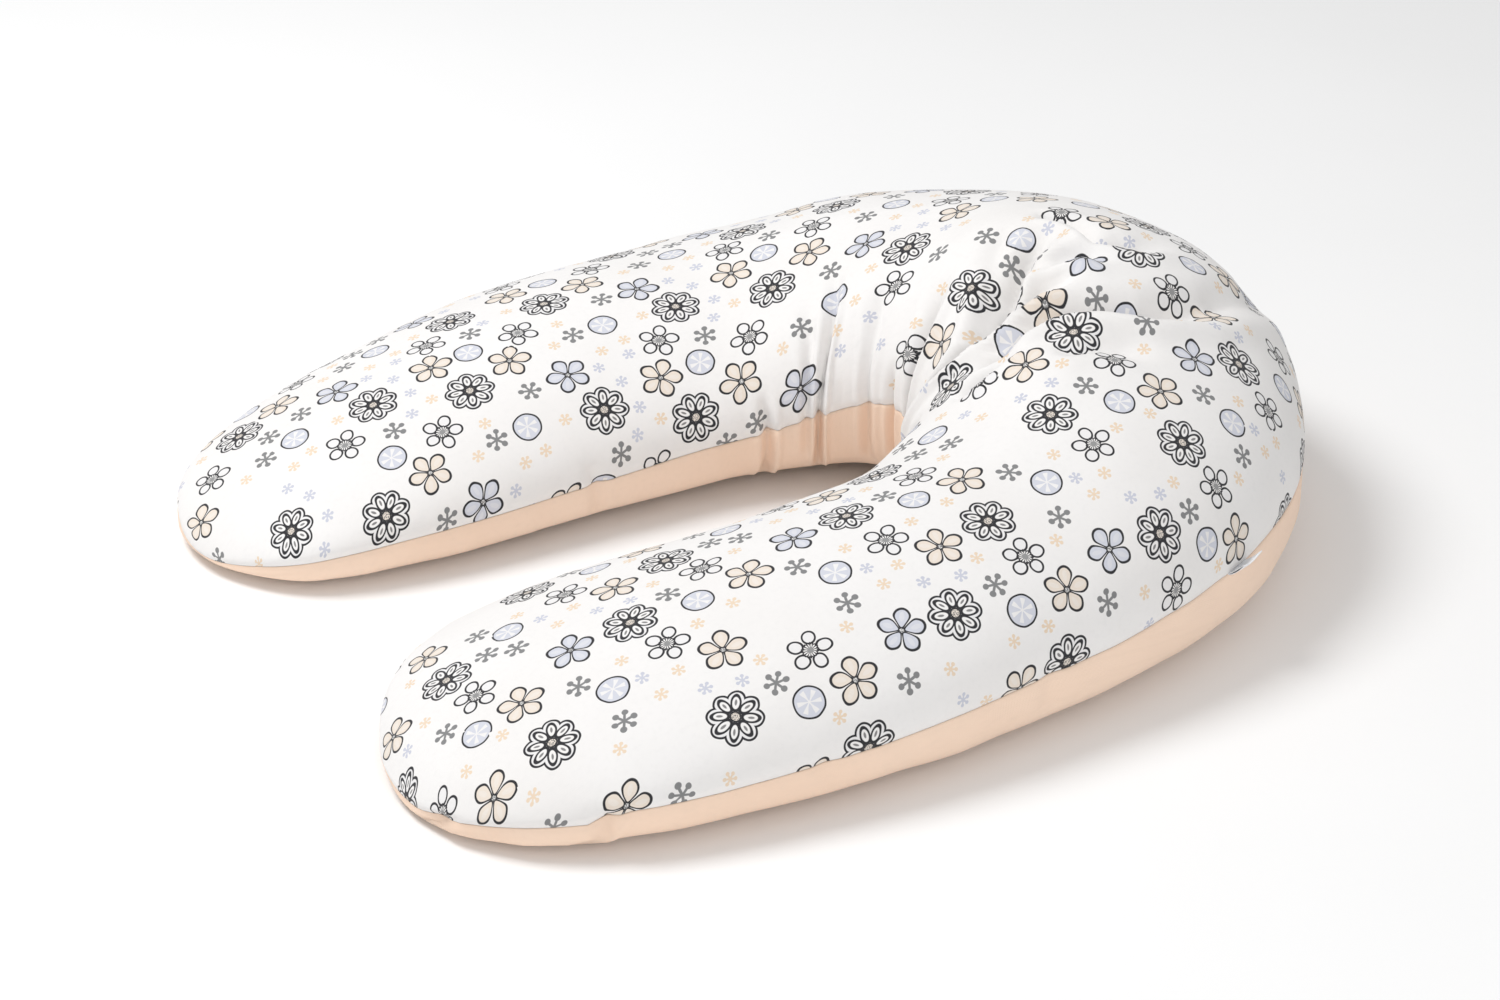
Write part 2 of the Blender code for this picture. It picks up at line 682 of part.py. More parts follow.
def pull_tab():
    """Flat pull lying back over the chain; its origin is the pin it swings on."""
    curve = bpy.data.curves.new("zip_pull_tab", "CURVE")
    curve.dimensions = "2D"
    curve.fill_mode = "BOTH"
    curve.extrude = TAB_PIN / 2
    for ring in tab_outline():
        line = curve.splines.new("POLY")
        line.points.add(len(ring) - 1)
        for point, (x, z) in zip(line.points, ring):
            point.co = (x, z, 0, 1)
        line.use_cyclic_u = True
    obj = bpy.data.objects.new("zip_pull_tab_outline", curve)
    HELPERS.objects.link(obj)
    graph = bpy.context.evaluated_depsgraph_get()
    mesh = bpy.data.meshes.new_from_object(obj.evaluated_get(graph))
    bpy.data.objects.remove(obj, do_unlink=True)
    mesh.transform(Matrix.Rotation(math.pi / 2, 4, "X"))
    made = bmesh.new()
    made.from_mesh(mesh)
    bmesh.ops.remove_doubles(made, verts=made.verts, dist=1e-6)
    bmesh.ops.recalc_face_normals(made, faces=made.faces)
    made.to_mesh(mesh)
    made.free()
    tab = linked("zip_pull_tab", mesh, ZINC)
    turned_back = Matrix.Rotation(math.pi, 4, "Y")
    tab.matrix_world = SLIDER_FRAME @ Matrix.Translation((0, PIN_HEIGHT, 0)) @ turned_back
    return tab


pull_tab()


# ================================================================ ribbon tag
def tag():
    """A short folded ribbon that stands out of the outer seam and curls upwards."""
    steps = 6
    seam = surface(np.array([0.0]))[:, 0]
    arm = seam[:, :2] - ZIP_CENTRE
    angle = np.degrees(np.arctan2(arm[:, 1], arm[:, 0]))
    order = np.argsort(angle)
    radius = np.interp(TAG_ANGLE, angle[order], np.linalg.norm(arm, axis=1)[order])
    height = np.interp(TAG_ANGLE, angle[order], seam[order, 2])
    turn = math.radians(TAG_ANGLE)
    out = np.array([math.cos(turn), math.sin(turn), 0])
    along = np.array([-math.sin(turn), math.cos(turn), 0])
    start = np.array([*ZIP_CENTRE, height]) + out * (radius + TAG_CLEARANCE)
    grid = np.zeros((2, steps + 1, 3))
    for i, place in enumerate((-0.5, 0.5)):
        for j in range(steps + 1):
            share = j / steps
            grid[i, j] = start + along * place * TAG_WIDTH + out * TAG_REACH * share
            grid[i, j, 2] += TAG_RISE * share * share
    return draped("side_tag", grid[:, ::-1], RIBBON, TAG_THICKNESS)


tag()
bpy.context.view_layer.update()
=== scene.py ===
"""Looks for the crescent nursing pillow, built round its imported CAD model."""

import math  # noqa: E402
import random  # noqa: E402
from functools import partialmethod  # noqa: E402
from itertools import product  # noqa: E402

import bpy  # noqa: E402
import numpy as np  # noqa: E402
from mathutils import Matrix, Vector, noise  # noqa: E402
from mathutils.kdtree import KDTree  # noqa: E402


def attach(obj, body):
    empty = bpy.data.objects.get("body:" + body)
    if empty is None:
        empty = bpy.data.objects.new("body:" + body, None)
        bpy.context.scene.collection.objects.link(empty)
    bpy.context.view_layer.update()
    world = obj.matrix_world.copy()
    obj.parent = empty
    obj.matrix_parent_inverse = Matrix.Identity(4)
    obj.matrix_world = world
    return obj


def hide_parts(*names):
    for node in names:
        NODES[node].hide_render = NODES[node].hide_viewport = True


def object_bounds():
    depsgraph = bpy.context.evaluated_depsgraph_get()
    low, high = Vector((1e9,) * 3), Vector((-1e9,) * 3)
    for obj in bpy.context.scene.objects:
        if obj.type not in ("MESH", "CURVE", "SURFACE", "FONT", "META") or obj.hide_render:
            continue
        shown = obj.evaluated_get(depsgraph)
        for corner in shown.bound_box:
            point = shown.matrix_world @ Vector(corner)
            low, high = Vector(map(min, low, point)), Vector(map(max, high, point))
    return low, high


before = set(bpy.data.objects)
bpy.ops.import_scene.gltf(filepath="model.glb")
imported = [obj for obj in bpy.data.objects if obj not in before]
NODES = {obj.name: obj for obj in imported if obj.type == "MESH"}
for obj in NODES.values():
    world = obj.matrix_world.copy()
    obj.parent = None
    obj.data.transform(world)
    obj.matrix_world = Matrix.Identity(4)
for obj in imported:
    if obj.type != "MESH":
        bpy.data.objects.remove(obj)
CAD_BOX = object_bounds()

MIDDLE = (Vector(CAD_BOX[0]) + Vector(CAD_BOX[1])) / 2

# ----- plan and section, as the CAD has them
OVERALL_LENGTH = 0.690
BEND_HEIGHT = 0.185
FLAT_SINK = 0.003
TIP_LIFT = 0.012
FAR_ARM = {
    "length": 0.8564,
    "curve": (4.022, 4.378, 2.559, 0.989, 0.195, 0.196),
    "half_width": (0.187, 0.174, 0.168, 0.161, 0.155, 0.174),
    "height": (1.0, 0.838, 0.707, 0.739, 0.748, 0.751),
    "bluntness": 8.77,
}
NEAR_ARM = {
    "length": 0.8476,
    "curve": (3.820, 4.448, 2.583, 1.060, 0.374, 0.122),
    "half_width": (0.187, 0.163, 0.145, 0.158, 0.172, 0.176),
    "height": (1.0, 0.874, 0.739, 0.723, 0.715, 0.731),
    "bluntness": 11.3,
}
SEAM_HEIGHT_SHARE = (0.398, 0.409, 0.364, 0.531)
SIDE_ROUNDNESS = 1.2285
TOP_ROUNDNESS = 0.917
BASE_ROUNDNESS = 0.392
BEND_PINCH = 0.177
BEND_PINCH_REACH = 0.218
BEND_EASE = 0.05
TIP_ROUNDING = 24.0
ZIP_BEFORE = 0.045
ZIP_AFTER = 0.285
ZIP_BLEND = 16.0
ZIP_EASE = 3.5
ZIP_OPENING = 0.011
TAPE_BEYOND = 2.5
COIL_INSET = 0.0015
COIL_RADIUS = 0.0007
COIL_GAP = 0.0014
TAG_ANGLE = -63.0
TAG_WIDTH = 0.022
TAG_LENGTH = 0.0150
TAG_RADIUS = 0.33  # of the outer seam about the zip's centre, at the tag

# ----- cover cloth, metres
ROWS = 165  # rows of the fine cloth from the middle of the bend to the start of a tip
TIP_START = 0.84  # share of an arm's length where its tip's own rows start
TIP_ROWS = 26
TOP_COLUMNS = 104
BASE_COLUMNS = 84
SEAM_SINK = 0.0013  # how far the cloth dips at a seam
SEAM_ROLL = 0.0030  # and how far from the seam the dip reaches
SEAM_CLOSE = 0.0060
SEAM_SPLIT = 0.00015
SEAM_STEPS = (0.0, 0.0008, 0.0018, 0.0031)  # columns beside a seam, before the even ones
EVEN_FROM = 0.0050
SECTION_GUIDE = (0.122, 0.085, 0.060)  # half width, rise and drop that the columns are spaced for
TIP_DROP = 0.0055  # how much lower the seam lies between the tuck and the near tip
TIP_DROP_START = (-0.530, -0.556)
TIP_DROP_REACH = 0.024
SOFT_RIPPLES = ((0.0016, 0.075, 3.0), (0.0006, 0.028, 9.0))  # height, length and seed
SEAM_RIPPLES = ((0.0011, 0.016, 5.0, 0.014), (0.0006, 0.007, 8.0, 0.006))  # the same, and reach
CLOTH = 0.0006
BAG_CLOTH = 0.0005
RIBBON = 0.0003
MOTIF_GAP = 0.0026
WELD = 0.00002
HEM_REACH = 0.019  # how far from its hem the cloth is held apart along the zip
PUCKER_REACH = 0.045
INNER_FLOOR = 0.0008
STRIP_HEIGHT = 0.48  # of one arm's strip in the bake map
STRIP_MARGIN = 0.005
THREAD_RADIUS = 0.0003
THREAD_SINK = 0.0024
COIL_WIRE = 0.0002
COIL_PITCH = 0.0013
COIL_ENDS = 0.0035  # from the end of the zip to the end of the coils
STITCH_PITCH = 0.0034
STITCH_LENGTH = 0.0025
STITCH_RADIUS = 0.0002
STITCH_LIFT = 0.0002
BAG_INSET = (0.0085, 0.0045)
FILL_INSET = (0.0120, 0.0070)


def smooth_curve(values, u):
    """Monotone cubic through evenly spaced values on 0..1."""
    y = np.asarray(values, float)
    n = len(y)
    step = 1.0 / (n - 1)
    rise = np.diff(y) / step
    slope = np.zeros(n)
    for i in range(1, n - 1):
        if rise[i - 1] * rise[i] > 0:
            slope[i] = 2 * rise[i - 1] * rise[i] / (rise[i - 1] + rise[i])
    slope[0] = end_slope(rise[0], rise[1])
    slope[-1] = end_slope(rise[-1], rise[-2])
    u = np.clip(np.asarray(u, float), 0, 1)
    i = np.minimum((u / step).astype(int), n - 2)
    t = u / step - i
    low = (1 + 2 * t) * (1 - t) ** 2 * y[i] + t * (1 - t) ** 2 * step * slope[i]
    high = t * t * (3 - 2 * t) * y[i + 1] + t * t * (t - 1) * step * slope[i + 1]
    return low + high


def end_slope(near, far):
    slope = (3 * near - far) / 2
    if slope * near <= 0:
        return 0.0
    if near * far <= 0 and abs(slope) > 3 * abs(near):
        return 3 * near
    return slope


def run_along(line):
    """Distance along a line of points from its first one."""
    return np.concatenate([[0], np.cumsum(np.linalg.norm(np.diff(line, axis=0), axis=1))])


def resample(at, run, line):
    """Points at the places at along a line whose own points lie at run."""
    return np.stack([np.interp(at, run, line[:, k]) for k in range(line.shape[1])], 1)


def rows_of(arm, count, tip_count):
    straight = np.linspace(0, TIP_START, count + 1)
    first = math.asin(TIP_START ** (arm["bluntness"] / 2))
    tip = np.linspace(first, math.pi / 2, tip_count + 1)[1:]
    return np.concatenate([straight, np.sin(tip) ** (2 / arm["bluntness"])])


def centreline(arm, u):
    """Plan position and heading at each u, for an arm that starts at the origin and bends to -X."""
    fine = np.linspace(0, 1, 801)
    bend = smooth_curve(arm["curve"], fine)
    step = arm["length"] / 800
    turn = np.concatenate([[0], np.cumsum((bend[1:] + bend[:-1]) / 2 * step)])
    head = np.stack([-np.sin(turn), np.cos(turn)], 1)
    place = np.concatenate([[[0, 0]], np.cumsum((head[1:] + head[:-1]) / 2 * step, 0)])
    heading = resample(u, fine, head)
    return resample(u, fine, place), heading / np.linalg.norm(heading, axis=1, keepdims=True)


def arm_grid(arm, side, u, angles, scale, height, inset):
    """One arm's surface, rows from bend to tip. Angle 0 is the outer seam and 180 the inner one."""
    length = arm["length"] * scale
    inner = u * (length - inset[0]) / length
    at, heading = centreline(arm, inner)
    blunt = np.sqrt(np.maximum(0, 1 - u ** arm["bluntness"]))
    eased = np.hypot(inner, BEND_EASE) - BEND_EASE
    half = smooth_curve(arm["half_width"], eased) * scale
    pinch = 1 - BEND_PINCH * np.exp(-((inner / BEND_PINCH_REACH) ** 2))
    outer_half = (half - inset[0]) * blunt
    inner_half = (half * pinch - inset[0]) * blunt
    local = smooth_curve(arm["height"], eased) * height
    share = smooth_curve(SEAM_HEIGHT_SHARE, inner)
    seam = local * share * np.sqrt(np.maximum(0, 1 - inner * inner))
    seam = np.hypot(seam, TIP_LIFT * inner**6)
    crown = (local * (1 - share) - inset[1]) * np.sqrt(np.maximum(0, 1 - u * u))
    base = (seam - inset[1]) * np.sqrt(np.maximum(0, 1 - u**TIP_ROUNDING))
    c = np.cos(angles)
    s = np.sin(angles)
    c[np.abs(c) < 1e-9] = 0
    s[np.abs(s) < 1e-9] = 0
    across = np.sign(c) * np.abs(c) ** SIDE_ROUNDNESS
    across = across * np.where(across < 0, inner_half[:, None], outer_half[:, None])
    up = np.where(s > 0, np.abs(s) ** TOP_ROUNDNESS, 0)
    down = np.where(s < 0, np.abs(s) ** BASE_ROUNDNESS, 0)
    z = seam[:, None] + crown[:, None] * up - base[:, None] * down
    outward = np.stack([heading[:, 1], -heading[:, 0]], 1)
    x = at[:, 0][:, None] * scale + across * outward[:, 0][:, None]
    y = (at[:, 1][:, None] * scale + across * outward[:, 1][:, None]) * side
    return np.stack([x, y, z], -1)


def both_arms(rows, angles, scale, height, inset=(0.0, 0.0)):
    near = arm_grid(NEAR_ARM, -1, rows_of(NEAR_ARM, *rows), angles.copy(), scale, height, inset)
    far = arm_grid(FAR_ARM, 1, rows_of(FAR_ARM, *rows), angles.copy(), scale, height, inset)
    return np.concatenate([near[::-1], far[1:]])


def plan_scale():
    grid = both_arms((27, 5), np.linspace(0, 2 * math.pi, 73), 1.0, 1.0)
    low = grid.reshape(-1, 3).min(0)
    high = grid.reshape(-1, 3).max(0)
    scale = OVERALL_LENGTH / (high[0] - low[0])
    return scale, -(low + high)[:2] / 2 * scale


SCALE, SHIFT = plan_scale()


def placed(rows, angles, inset=(0.0, 0.0)):
    grid = both_arms(rows, angles, SCALE, BEND_HEIGHT, inset)
    grid[..., :2] += SHIFT
    if not inset[1]:
        z = grid[..., 2]
        grid[..., 2] = np.maximum(0, z - FLAT_SINK * np.exp(-z / (5 * FLAT_SINK)))
    return grid


def zip_arc():
    """Centre, radius, height and end angles of the arc that the outer seam follows along the zip."""
    seam = placed((27, 5), np.array([0.0]))[:, 0]
    along = run_along(seam)
    along -= along[len(seam) // 2]
    zone = (along > -ZIP_BEFORE) & (along < ZIP_AFTER)
    table = np.column_stack([2 * seam[zone, :2], np.ones(zone.sum())])
    solved = np.linalg.lstsq(table, (seam[zone, :2] ** 2).sum(1), rcond=None)[0]
    centre = solved[:2]
    radius = math.sqrt(solved[2] + centre @ centre)
    angle = np.degrees(np.arctan2(seam[:, 1] - centre[1], seam[:, 0] - centre[0]))
    return centre, radius, seam[zone, 2].mean(), np.interp((-ZIP_BEFORE, ZIP_AFTER), along, angle)


ZIP_CENTRE, ZIP_RADIUS, ZIP_HEIGHT, (ZIP_FROM, ZIP_TO) = zip_arc()


def about_zip(points):
    """Each point's place in plan from the zip's centre, and its angle there in degrees."""
    arm = points[:, :2] - ZIP_CENTRE
    return arm, np.degrees(np.arctan2(arm[:, 1], arm[:, 0]))


def zone_weight(angle, beyond, ease):
    past = np.maximum(ZIP_FROM - angle, angle - ZIP_TO) - beyond
    t = np.clip(1 - past / ease, 0, 1)
    return t * t * (3 - 2 * t)


def eased_step(low, high, value):
    t = np.clip((value - low) / (high - low), 0, 1)
    return t * t * (3 - 2 * t)


def even_angles(start, count):
    """Section angles that give even steps along a half section, with closer ones at its two seams."""
    width, rise, drop = SECTION_GUIDE
    fine = np.linspace(0, math.pi, 2001)
    if start == 0:
        y = np.sin(fine) ** TOP_ROUNDNESS * rise
    else:
        y = np.sin(fine) ** BASE_ROUNDNESS * drop
    x = np.sign(np.cos(fine)) * np.abs(np.cos(fine)) ** SIDE_ROUNDNESS * width
    run = np.concatenate([[0], np.cumsum(np.hypot(np.diff(x), np.diff(y)))])
    total = run[-1]
    close = np.array(SEAM_STEPS)
    even = np.linspace(EVEN_FROM, total - EVEN_FROM, count + 1 - 2 * len(close))
    want = np.concatenate([close, even, total - close[::-1]])
    return start + np.interp(want, run, fine)


def base_skin(rows, angles, side, inset):
    """The smooth surface of one part of the pillow before any fold, and the zip's weight on each row.

    side is 1 for the upper half, -1 for the lower and 0 for both together.
    """
    grid = placed(rows, angles, inset)
    seam = placed(rows, np.array([0.0]))[:, 0]
    arm, angle = about_zip(seam)
    radial = arm / np.linalg.norm(arm, axis=1, keepdims=True)
    front = seam[:, 0] > ZIP_CENTRE[0]
    pull = zone_weight(angle, TAPE_BEYOND, ZIP_BLEND) * front
    out = (ZIP_RADIUS - np.linalg.norm(arm, axis=1)) * pull
    lift = (ZIP_HEIGHT - seam[:, 2]) * pull
    share = np.maximum(0, np.cos(angles)) ** 2
    grid[..., :2] += (out[:, None] * radial)[:, None, :] * share[None, :, None]
    above_floor = np.minimum(1, grid[..., 2] / seam[:, 2][:, None])
    grid[..., 2] += lift[:, None] * share[None, :] * above_floor
    zone = zone_weight(angle, 0.0, ZIP_EASE) * front
    if side and not inset[0]:
        rise = (grid[..., 2] - (seam[:, 2] + lift)[:, None]) * side
        held = np.clip(1 - rise / HEM_REACH, 0, 1) * (np.cos(angles) > 0)[None, :]
        grid[..., 2] += side * ZIP_OPENING / 2 * zone[:, None] * held
    return grid, zone


def distances(grid):
    """Distance along the cloth from its first edge and from its last one."""
    step = np.linalg.norm(np.diff(grid, axis=1), axis=2)
    run = np.concatenate([np.zeros((len(grid), 1)), np.cumsum(step, 1)], 1)
    return run, run[:, -1:] - run


def off_crown(grid, angles):
    """Each point's distance along the cloth from the crown, above 0 towards the outer seam."""
    outer, _ = distances(grid)
    crown = np.array([np.interp(math.pi / 2, angles, run) for run in outer])
    return crown[:, None] - outer


def along_of(rows):
    """Signed distance along the pillow from the middle of the bend: near arm below 0, far arm above."""
    near = rows_of(NEAR_ARM, *rows) * NEAR_ARM["length"] * SCALE
    far = rows_of(FAR_ARM, *rows) * FAR_ARM["length"] * SCALE
    return np.concatenate([-near[::-1], far[1:]])


def normals(grid):
    across = np.gradient(grid, axis=1)
    along = np.gradient(grid, axis=0)
    n = np.cross(across, along)
    size = np.linalg.norm(n, axis=2, keepdims=True)
    return n / np.maximum(size, 1e-12)


# ----- folds
# Each crease is a line over the cloth, as (distance along the pillow, section angle) points, with its
# depth, its half width and how much higher its right-hand lip stands. Distances are below 0 on the near
# arm. Angle 0 is the outer seam, 90 the crown, 180 the inner seam and 270 the base; a little below 0 is
# the base beside the outer seam.
CREASES = [
    # the deep fold from the inside of the bend up over the far side of its crown
    (((-0.112, 186), (-0.122, 164), (-0.116, 146), (-0.098, 135), (-0.076, 129), (-0.048, 123),
      (-0.030, 115), (-0.022, 107), (-0.004, 94)), 0.0270, 0.0105, 0.10),
    # the fold over the near arm where it leaves the bend, its near side standing higher
    (((-0.160, 136), (-0.138, 122), (-0.116, 113), (-0.109, 104), (-0.106, 90), (-0.102, 74),
      (-0.088, 60), (-0.060, 42)), 0.0190, 0.0090, 0.26),
    # smaller ones between and beside them
    (((0.016, 96), (-0.010, 87), (-0.034, 84), (-0.041, 72), (-0.030, 56)), 0.0110, 0.0075, 0.15),
    (((-0.196, 134), (-0.164, 123), (-0.140, 114)), 0.0085, 0.0070, 0.20),
    (((-0.160, 104), (-0.144, 86), (-0.136, 66)), 0.0060, 0.0075, 0.10),
    (((-0.122, 136), (-0.096, 126), (-0.074, 112), (-0.070, 96)), 0.0120, 0.0070, 0.20),
    (((-0.056, 118), (-0.046, 100), (-0.060, 80)), 0.0070, 0.0075, 0.10),
    (((-0.080, 56), (-0.050, 34), (-0.020, 22)), 0.0050, 0.0090, 0.10),
    # short sharp wrinkles beside the deep fold
    (((-0.136, 131), (-0.112, 123), (-0.092, 110)), 0.0065, 0.0062, 0.20),
    (((-0.098, 126), (-0.084, 116), (-0.080, 100)), 0.0070, 0.0060, 0.20),
    (((-0.082, 121), (-0.058, 109), (-0.050, 92)), 0.0060, 0.0062, 0.15),
    (((-0.046, 132), (-0.012, 122), (0.016, 108)), 0.0060, 0.0070, 0.10),
    (((-0.088, 140), (-0.060, 134), (-0.032, 126)), 0.0060, 0.0062, 0.10),
    # gathers on the inside of the bend and along the inner seam
    (((-0.050, 212), (-0.040, 180), (-0.022, 160), (0.004, 145), (0.034, 131)), 0.0140, 0.0085, 0.10),
    (((0.028, 206), (0.024, 180), (0.032, 163)), 0.0060, 0.0080, 0.0),
    (((0.088, 200), (0.082, 180), (0.090, 156), (0.104, 132)), 0.0048, 0.0100, 0.0),
    (((0.186, 208), (0.182, 180), (0.177, 160), (0.169, 142), (0.170, 118)), 0.0098, 0.0068, 0.15),
    (((0.206, 190), (0.202, 172), (0.196, 150), (0.200, 132)), 0.0045, 0.0075, 0.0),
    (((0.258, 208), (0.256, 180), (0.262, 160)), 0.0080, 0.0060, 0.10),
    (((0.420, 194), (0.420, 180), (0.426, 168)), 0.0035, 0.0055, 0.0),
    (((-0.170, 205), (-0.172, 180), (-0.184, 152)), 0.0080, 0.0090, 0.0),
    (((-0.262, 198), (-0.265, 180), (-0.272, 160)), 0.0050, 0.0080, 0.0),
    # tucks in the outer seam
    (((-0.552, -16), (-0.544, 0), (-0.550, 15)), 0.0052, 0.0046, 0.10),
    (((-0.630, -12), (-0.627, 0), (-0.624, 12)), 0.0034, 0.0045, 0.0),
    (((-0.300, -9), (-0.298, 0), (-0.294, 9)), 0.0022, 0.0060, 0.0),
    (((-0.420, -9), (-0.424, 0), (-0.418, 9)), 0.0018, 0.0060, 0.0),
]
# Soft swellings between the folds: place, height and half size.
SWELLS = [
    ((-0.060, 104), 0.0055, 0.030),
    ((-0.165, 108), 0.0070, 0.038),
    ((-0.050, 62), 0.0045, 0.040),
    ((0.035, 118), 0.0050, 0.030),
    ((0.130, 136), 0.0050, 0.032),
    ((0.222, 142), 0.0045, 0.032),
    ((-0.240, 150), 0.0030, 0.034),
]
ANGLE_RUN = 0.10  # metres of cloth to a radian of section angle


def crease_field(s, angle):
    """Depth below the smooth skin made by the creases, with a soft ridge beside each."""
    angle = np.where(angle > 1.5 * math.pi, angle - 2 * math.pi, angle)
    s, a = np.broadcast_arrays(s, angle * ANGLE_RUN)
    depth = np.zeros(s.shape)
    for points, deep, width, lip in CREASES:
        line = np.array([(p, math.radians(q) * ANGLE_RUN) for p, q in points])
        lengths = np.linalg.norm(np.diff(line, axis=0), axis=1)
        total = lengths.sum()
        best = np.full(s.shape, 1e9)
        along = np.zeros(s.shape)
        right = np.zeros(s.shape)
        before = 0.0
        for p, q, length in zip(line[:-1], line[1:], lengths):
            way = (q - p) / length
            run = np.clip((s - p[0]) * way[0] + (a - p[1]) * way[1], 0, length)
            away = np.hypot(s - p[0] - run * way[0], a - p[1] - run * way[1])
            closer = away < best
            best[closer] = away[closer]
            along[closer] = (before + run[closer]) / total
            turned = (s - p[0]) * way[1] - (a - p[1]) * way[0]
            right[closer] = (turned / np.maximum(away, 1e-6))[closer]
            before += length
        strength = eased_step(-0.02, 0.16, along) * eased_step(1.02, 0.66, along)
        narrow = width * (0.85 + 0.25 * along)
        valley = np.exp(-((best / narrow) ** 2) ** 0.75)
        ridge = np.exp(-(((best - 1.9 * narrow) / (0.85 * narrow)) ** 2))
        depth += deep * strength * (valley - (0.22 + lip * np.clip(right, -0.6, 1)) * ridge)
    for (place, angle_at), high, size in SWELLS:
        away = np.hypot(s - place, a - math.radians(angle_at) * ANGLE_RUN)
        depth -= high * np.exp(-((away / size) ** 2))
    return depth


def ripple(place, size, seed):
    """Smooth noise between about -1 and 1 whose humps are size across."""
    return noise.noise(Vector((place[0] / size + seed, place[1] / size, place[2] / size)))


def cloth_relief(grid, angles, rows, zone):
    """How far the cloth stands out of the smooth skin at each point, in metres."""
    outer, inner = distances(grid)
    s = along_of(rows)[:, None]
    relief = np.zeros(grid.shape[:2])
    seam_out = (1 - zone)[:, None]
    for edge, weight in ((outer, seam_out), (inner, 1.0)):
        relief -= SEAM_SINK * np.exp(-((edge / SEAM_ROLL) ** 2)) * weight
    pucker = np.zeros(grid.shape[:2])
    soft = np.zeros(grid.shape[:2])
    for i in range(grid.shape[0]):
        for j in range(grid.shape[1]):
            p = grid[i, j]
            soft[i, j] = sum(high * ripple(p, size, seed) for high, size, seed in SOFT_RIPPLES)
            edge = min(outer[i, j], inner[i, j])
            if edge < PUCKER_REACH:
                q = (s[i, 0], 0.0, 0.0)
                inside = inner[i, j] < outer[i, j]
                strong = (0.35 + min(1.0, abs(s[i, 0]) / 0.25) * 0.9) if inside else 1.0
                pucker[i, j] = strong * sum(
                    high * ripple(q, size, seed + 20 * inside) * math.exp(-edge / reach)
                    for high, size, seed, reach in SEAM_RIPPLES
                )
    hold = 1 - np.exp(-((np.minimum(outer, inner) / 0.004) ** 2)) * 0.7
    relief += soft + pucker * hold
    return relief - crease_field(s, angles[None, :])


def sheet_mesh(name, grid, flip):
    """A smooth mesh over a grid of points; flip turns its faces over."""
    rows, cols = grid.shape[:2]
    mesh = bpy.data.meshes.new(name)
    index = np.arange(rows * cols).reshape(rows, cols)
    quads = np.stack([index[:-1, :-1], index[1:, :-1], index[1:, 1:], index[:-1, 1:]], -1).reshape(-1, 4)
    if flip:
        quads = quads[:, ::-1]
    mesh.from_pydata(grid.reshape(-1, 3).tolist(), [], quads.tolist())
    mesh.polygons.foreach_set("use_smooth", [True] * len(mesh.polygons))
    return mesh


def linked(name, mesh, paint):
    obj = bpy.data.objects.new(name, mesh)
    bpy.context.scene.collection.objects.link(obj)
    obj.data.materials.append(paint)
    return obj


# ===== print on the upper cover
# The cloth is cut flat, so a point's place on the print is its place on the flat panel: the
# centreline's plan curve, and the distance along the cloth from the crown. The panel is cut more
# open than it lies here, so each arm has its own lattice of motifs.
# A lattice repeats by STEP along a row of motifs and by ROW to the next row.
NEAR_STEP = Vector((-0.145, -0.006))
NEAR_ROW = Vector((0.019, -0.101))
FAR_STEP = Vector((-0.051, 0.139))
FAR_ROW = Vector((-0.081, -0.062))
FAR_FIRST = Vector((-0.216, 0.152))
FAR_TURN = math.radians(-65)
DAISY, BEIGE, LILAC, RING, DISC, STAR, SMALL_BEIGE, SMALL_LILAC = range(1, 9)
REACH = {
    DAISY: 0.0174, BEIGE: 0.0150, LILAC: 0.0150, RING: 0.0140,
    DISC: 0.0106, STAR: 0.0086, SMALL_BEIGE: 0.0050, SMALL_LILAC: 0.0050,
}
SMALL_CELLS = 16  # places for a small motif along each side of a tile
SMALL_GAP = 0.0050
LARGE_GAP = 0.0018
CROWD_GAP = 0.0008
PRINT_MARGIN = 0.016  # how far round a motif its faces are looked for
OFF_PANEL = 0.012  # a motif whose middle is further off the panel than this is left out
ON_PANEL = 0.004
NO_MOTIF = 60.0  # a place far from any motif's middle
MOTIF_TURN = 0.35
SPREAD_ROUNDS = 120
ROW_ONE = Vector((-0.194, -0.186))
ROW_TWO = Vector((-0.144, -0.139))
TILE = [
    (kind, row + Vector(beside))
    for row, motifs in (
        (ROW_ONE, (
            (DAISY, (0, 0)), (LILAC, (-0.035, 0.002)), (BEIGE, (-0.076, -0.012)), (RING, (-0.088, 0.014)),
            (DISC, (-0.106, -0.016)), (STAR, (-0.046, -0.027)), (STAR, (-0.116, 0.001)),
        )),
        (ROW_TWO, (
            (DAISY, (0, 0)), (BEIGE, (-0.040, -0.001)), (RING, (-0.061, 0.019)),
            (DISC, (-0.103, 0.010)), (STAR, (-0.108, -0.013)), (STAR, (0.027, 0.001)),
        )),
    )
    for kind, beside in motifs
]


def spread(tile, step_along, step_across):
    """Moves the motifs of one tile apart until each has clear cloth round it, across tiles too."""
    pairs = [(m, n) for m in range(len(tile)) for n in range(len(tile)) if m != n]
    for _, (m, n), i, j in product(range(SPREAD_ROUNDS), pairs, (-1, 0, 1), (-1, 0, 1)):
        (kind, at), (other, place) = tile[m], tile[n]
        away = at - place - step_along * i - step_across * j
        short = REACH[kind] + REACH[other] + MOTIF_GAP - away.length
        if short > 0:
            push = away.normalized() * short * 0.3
            at += push
            place -= push


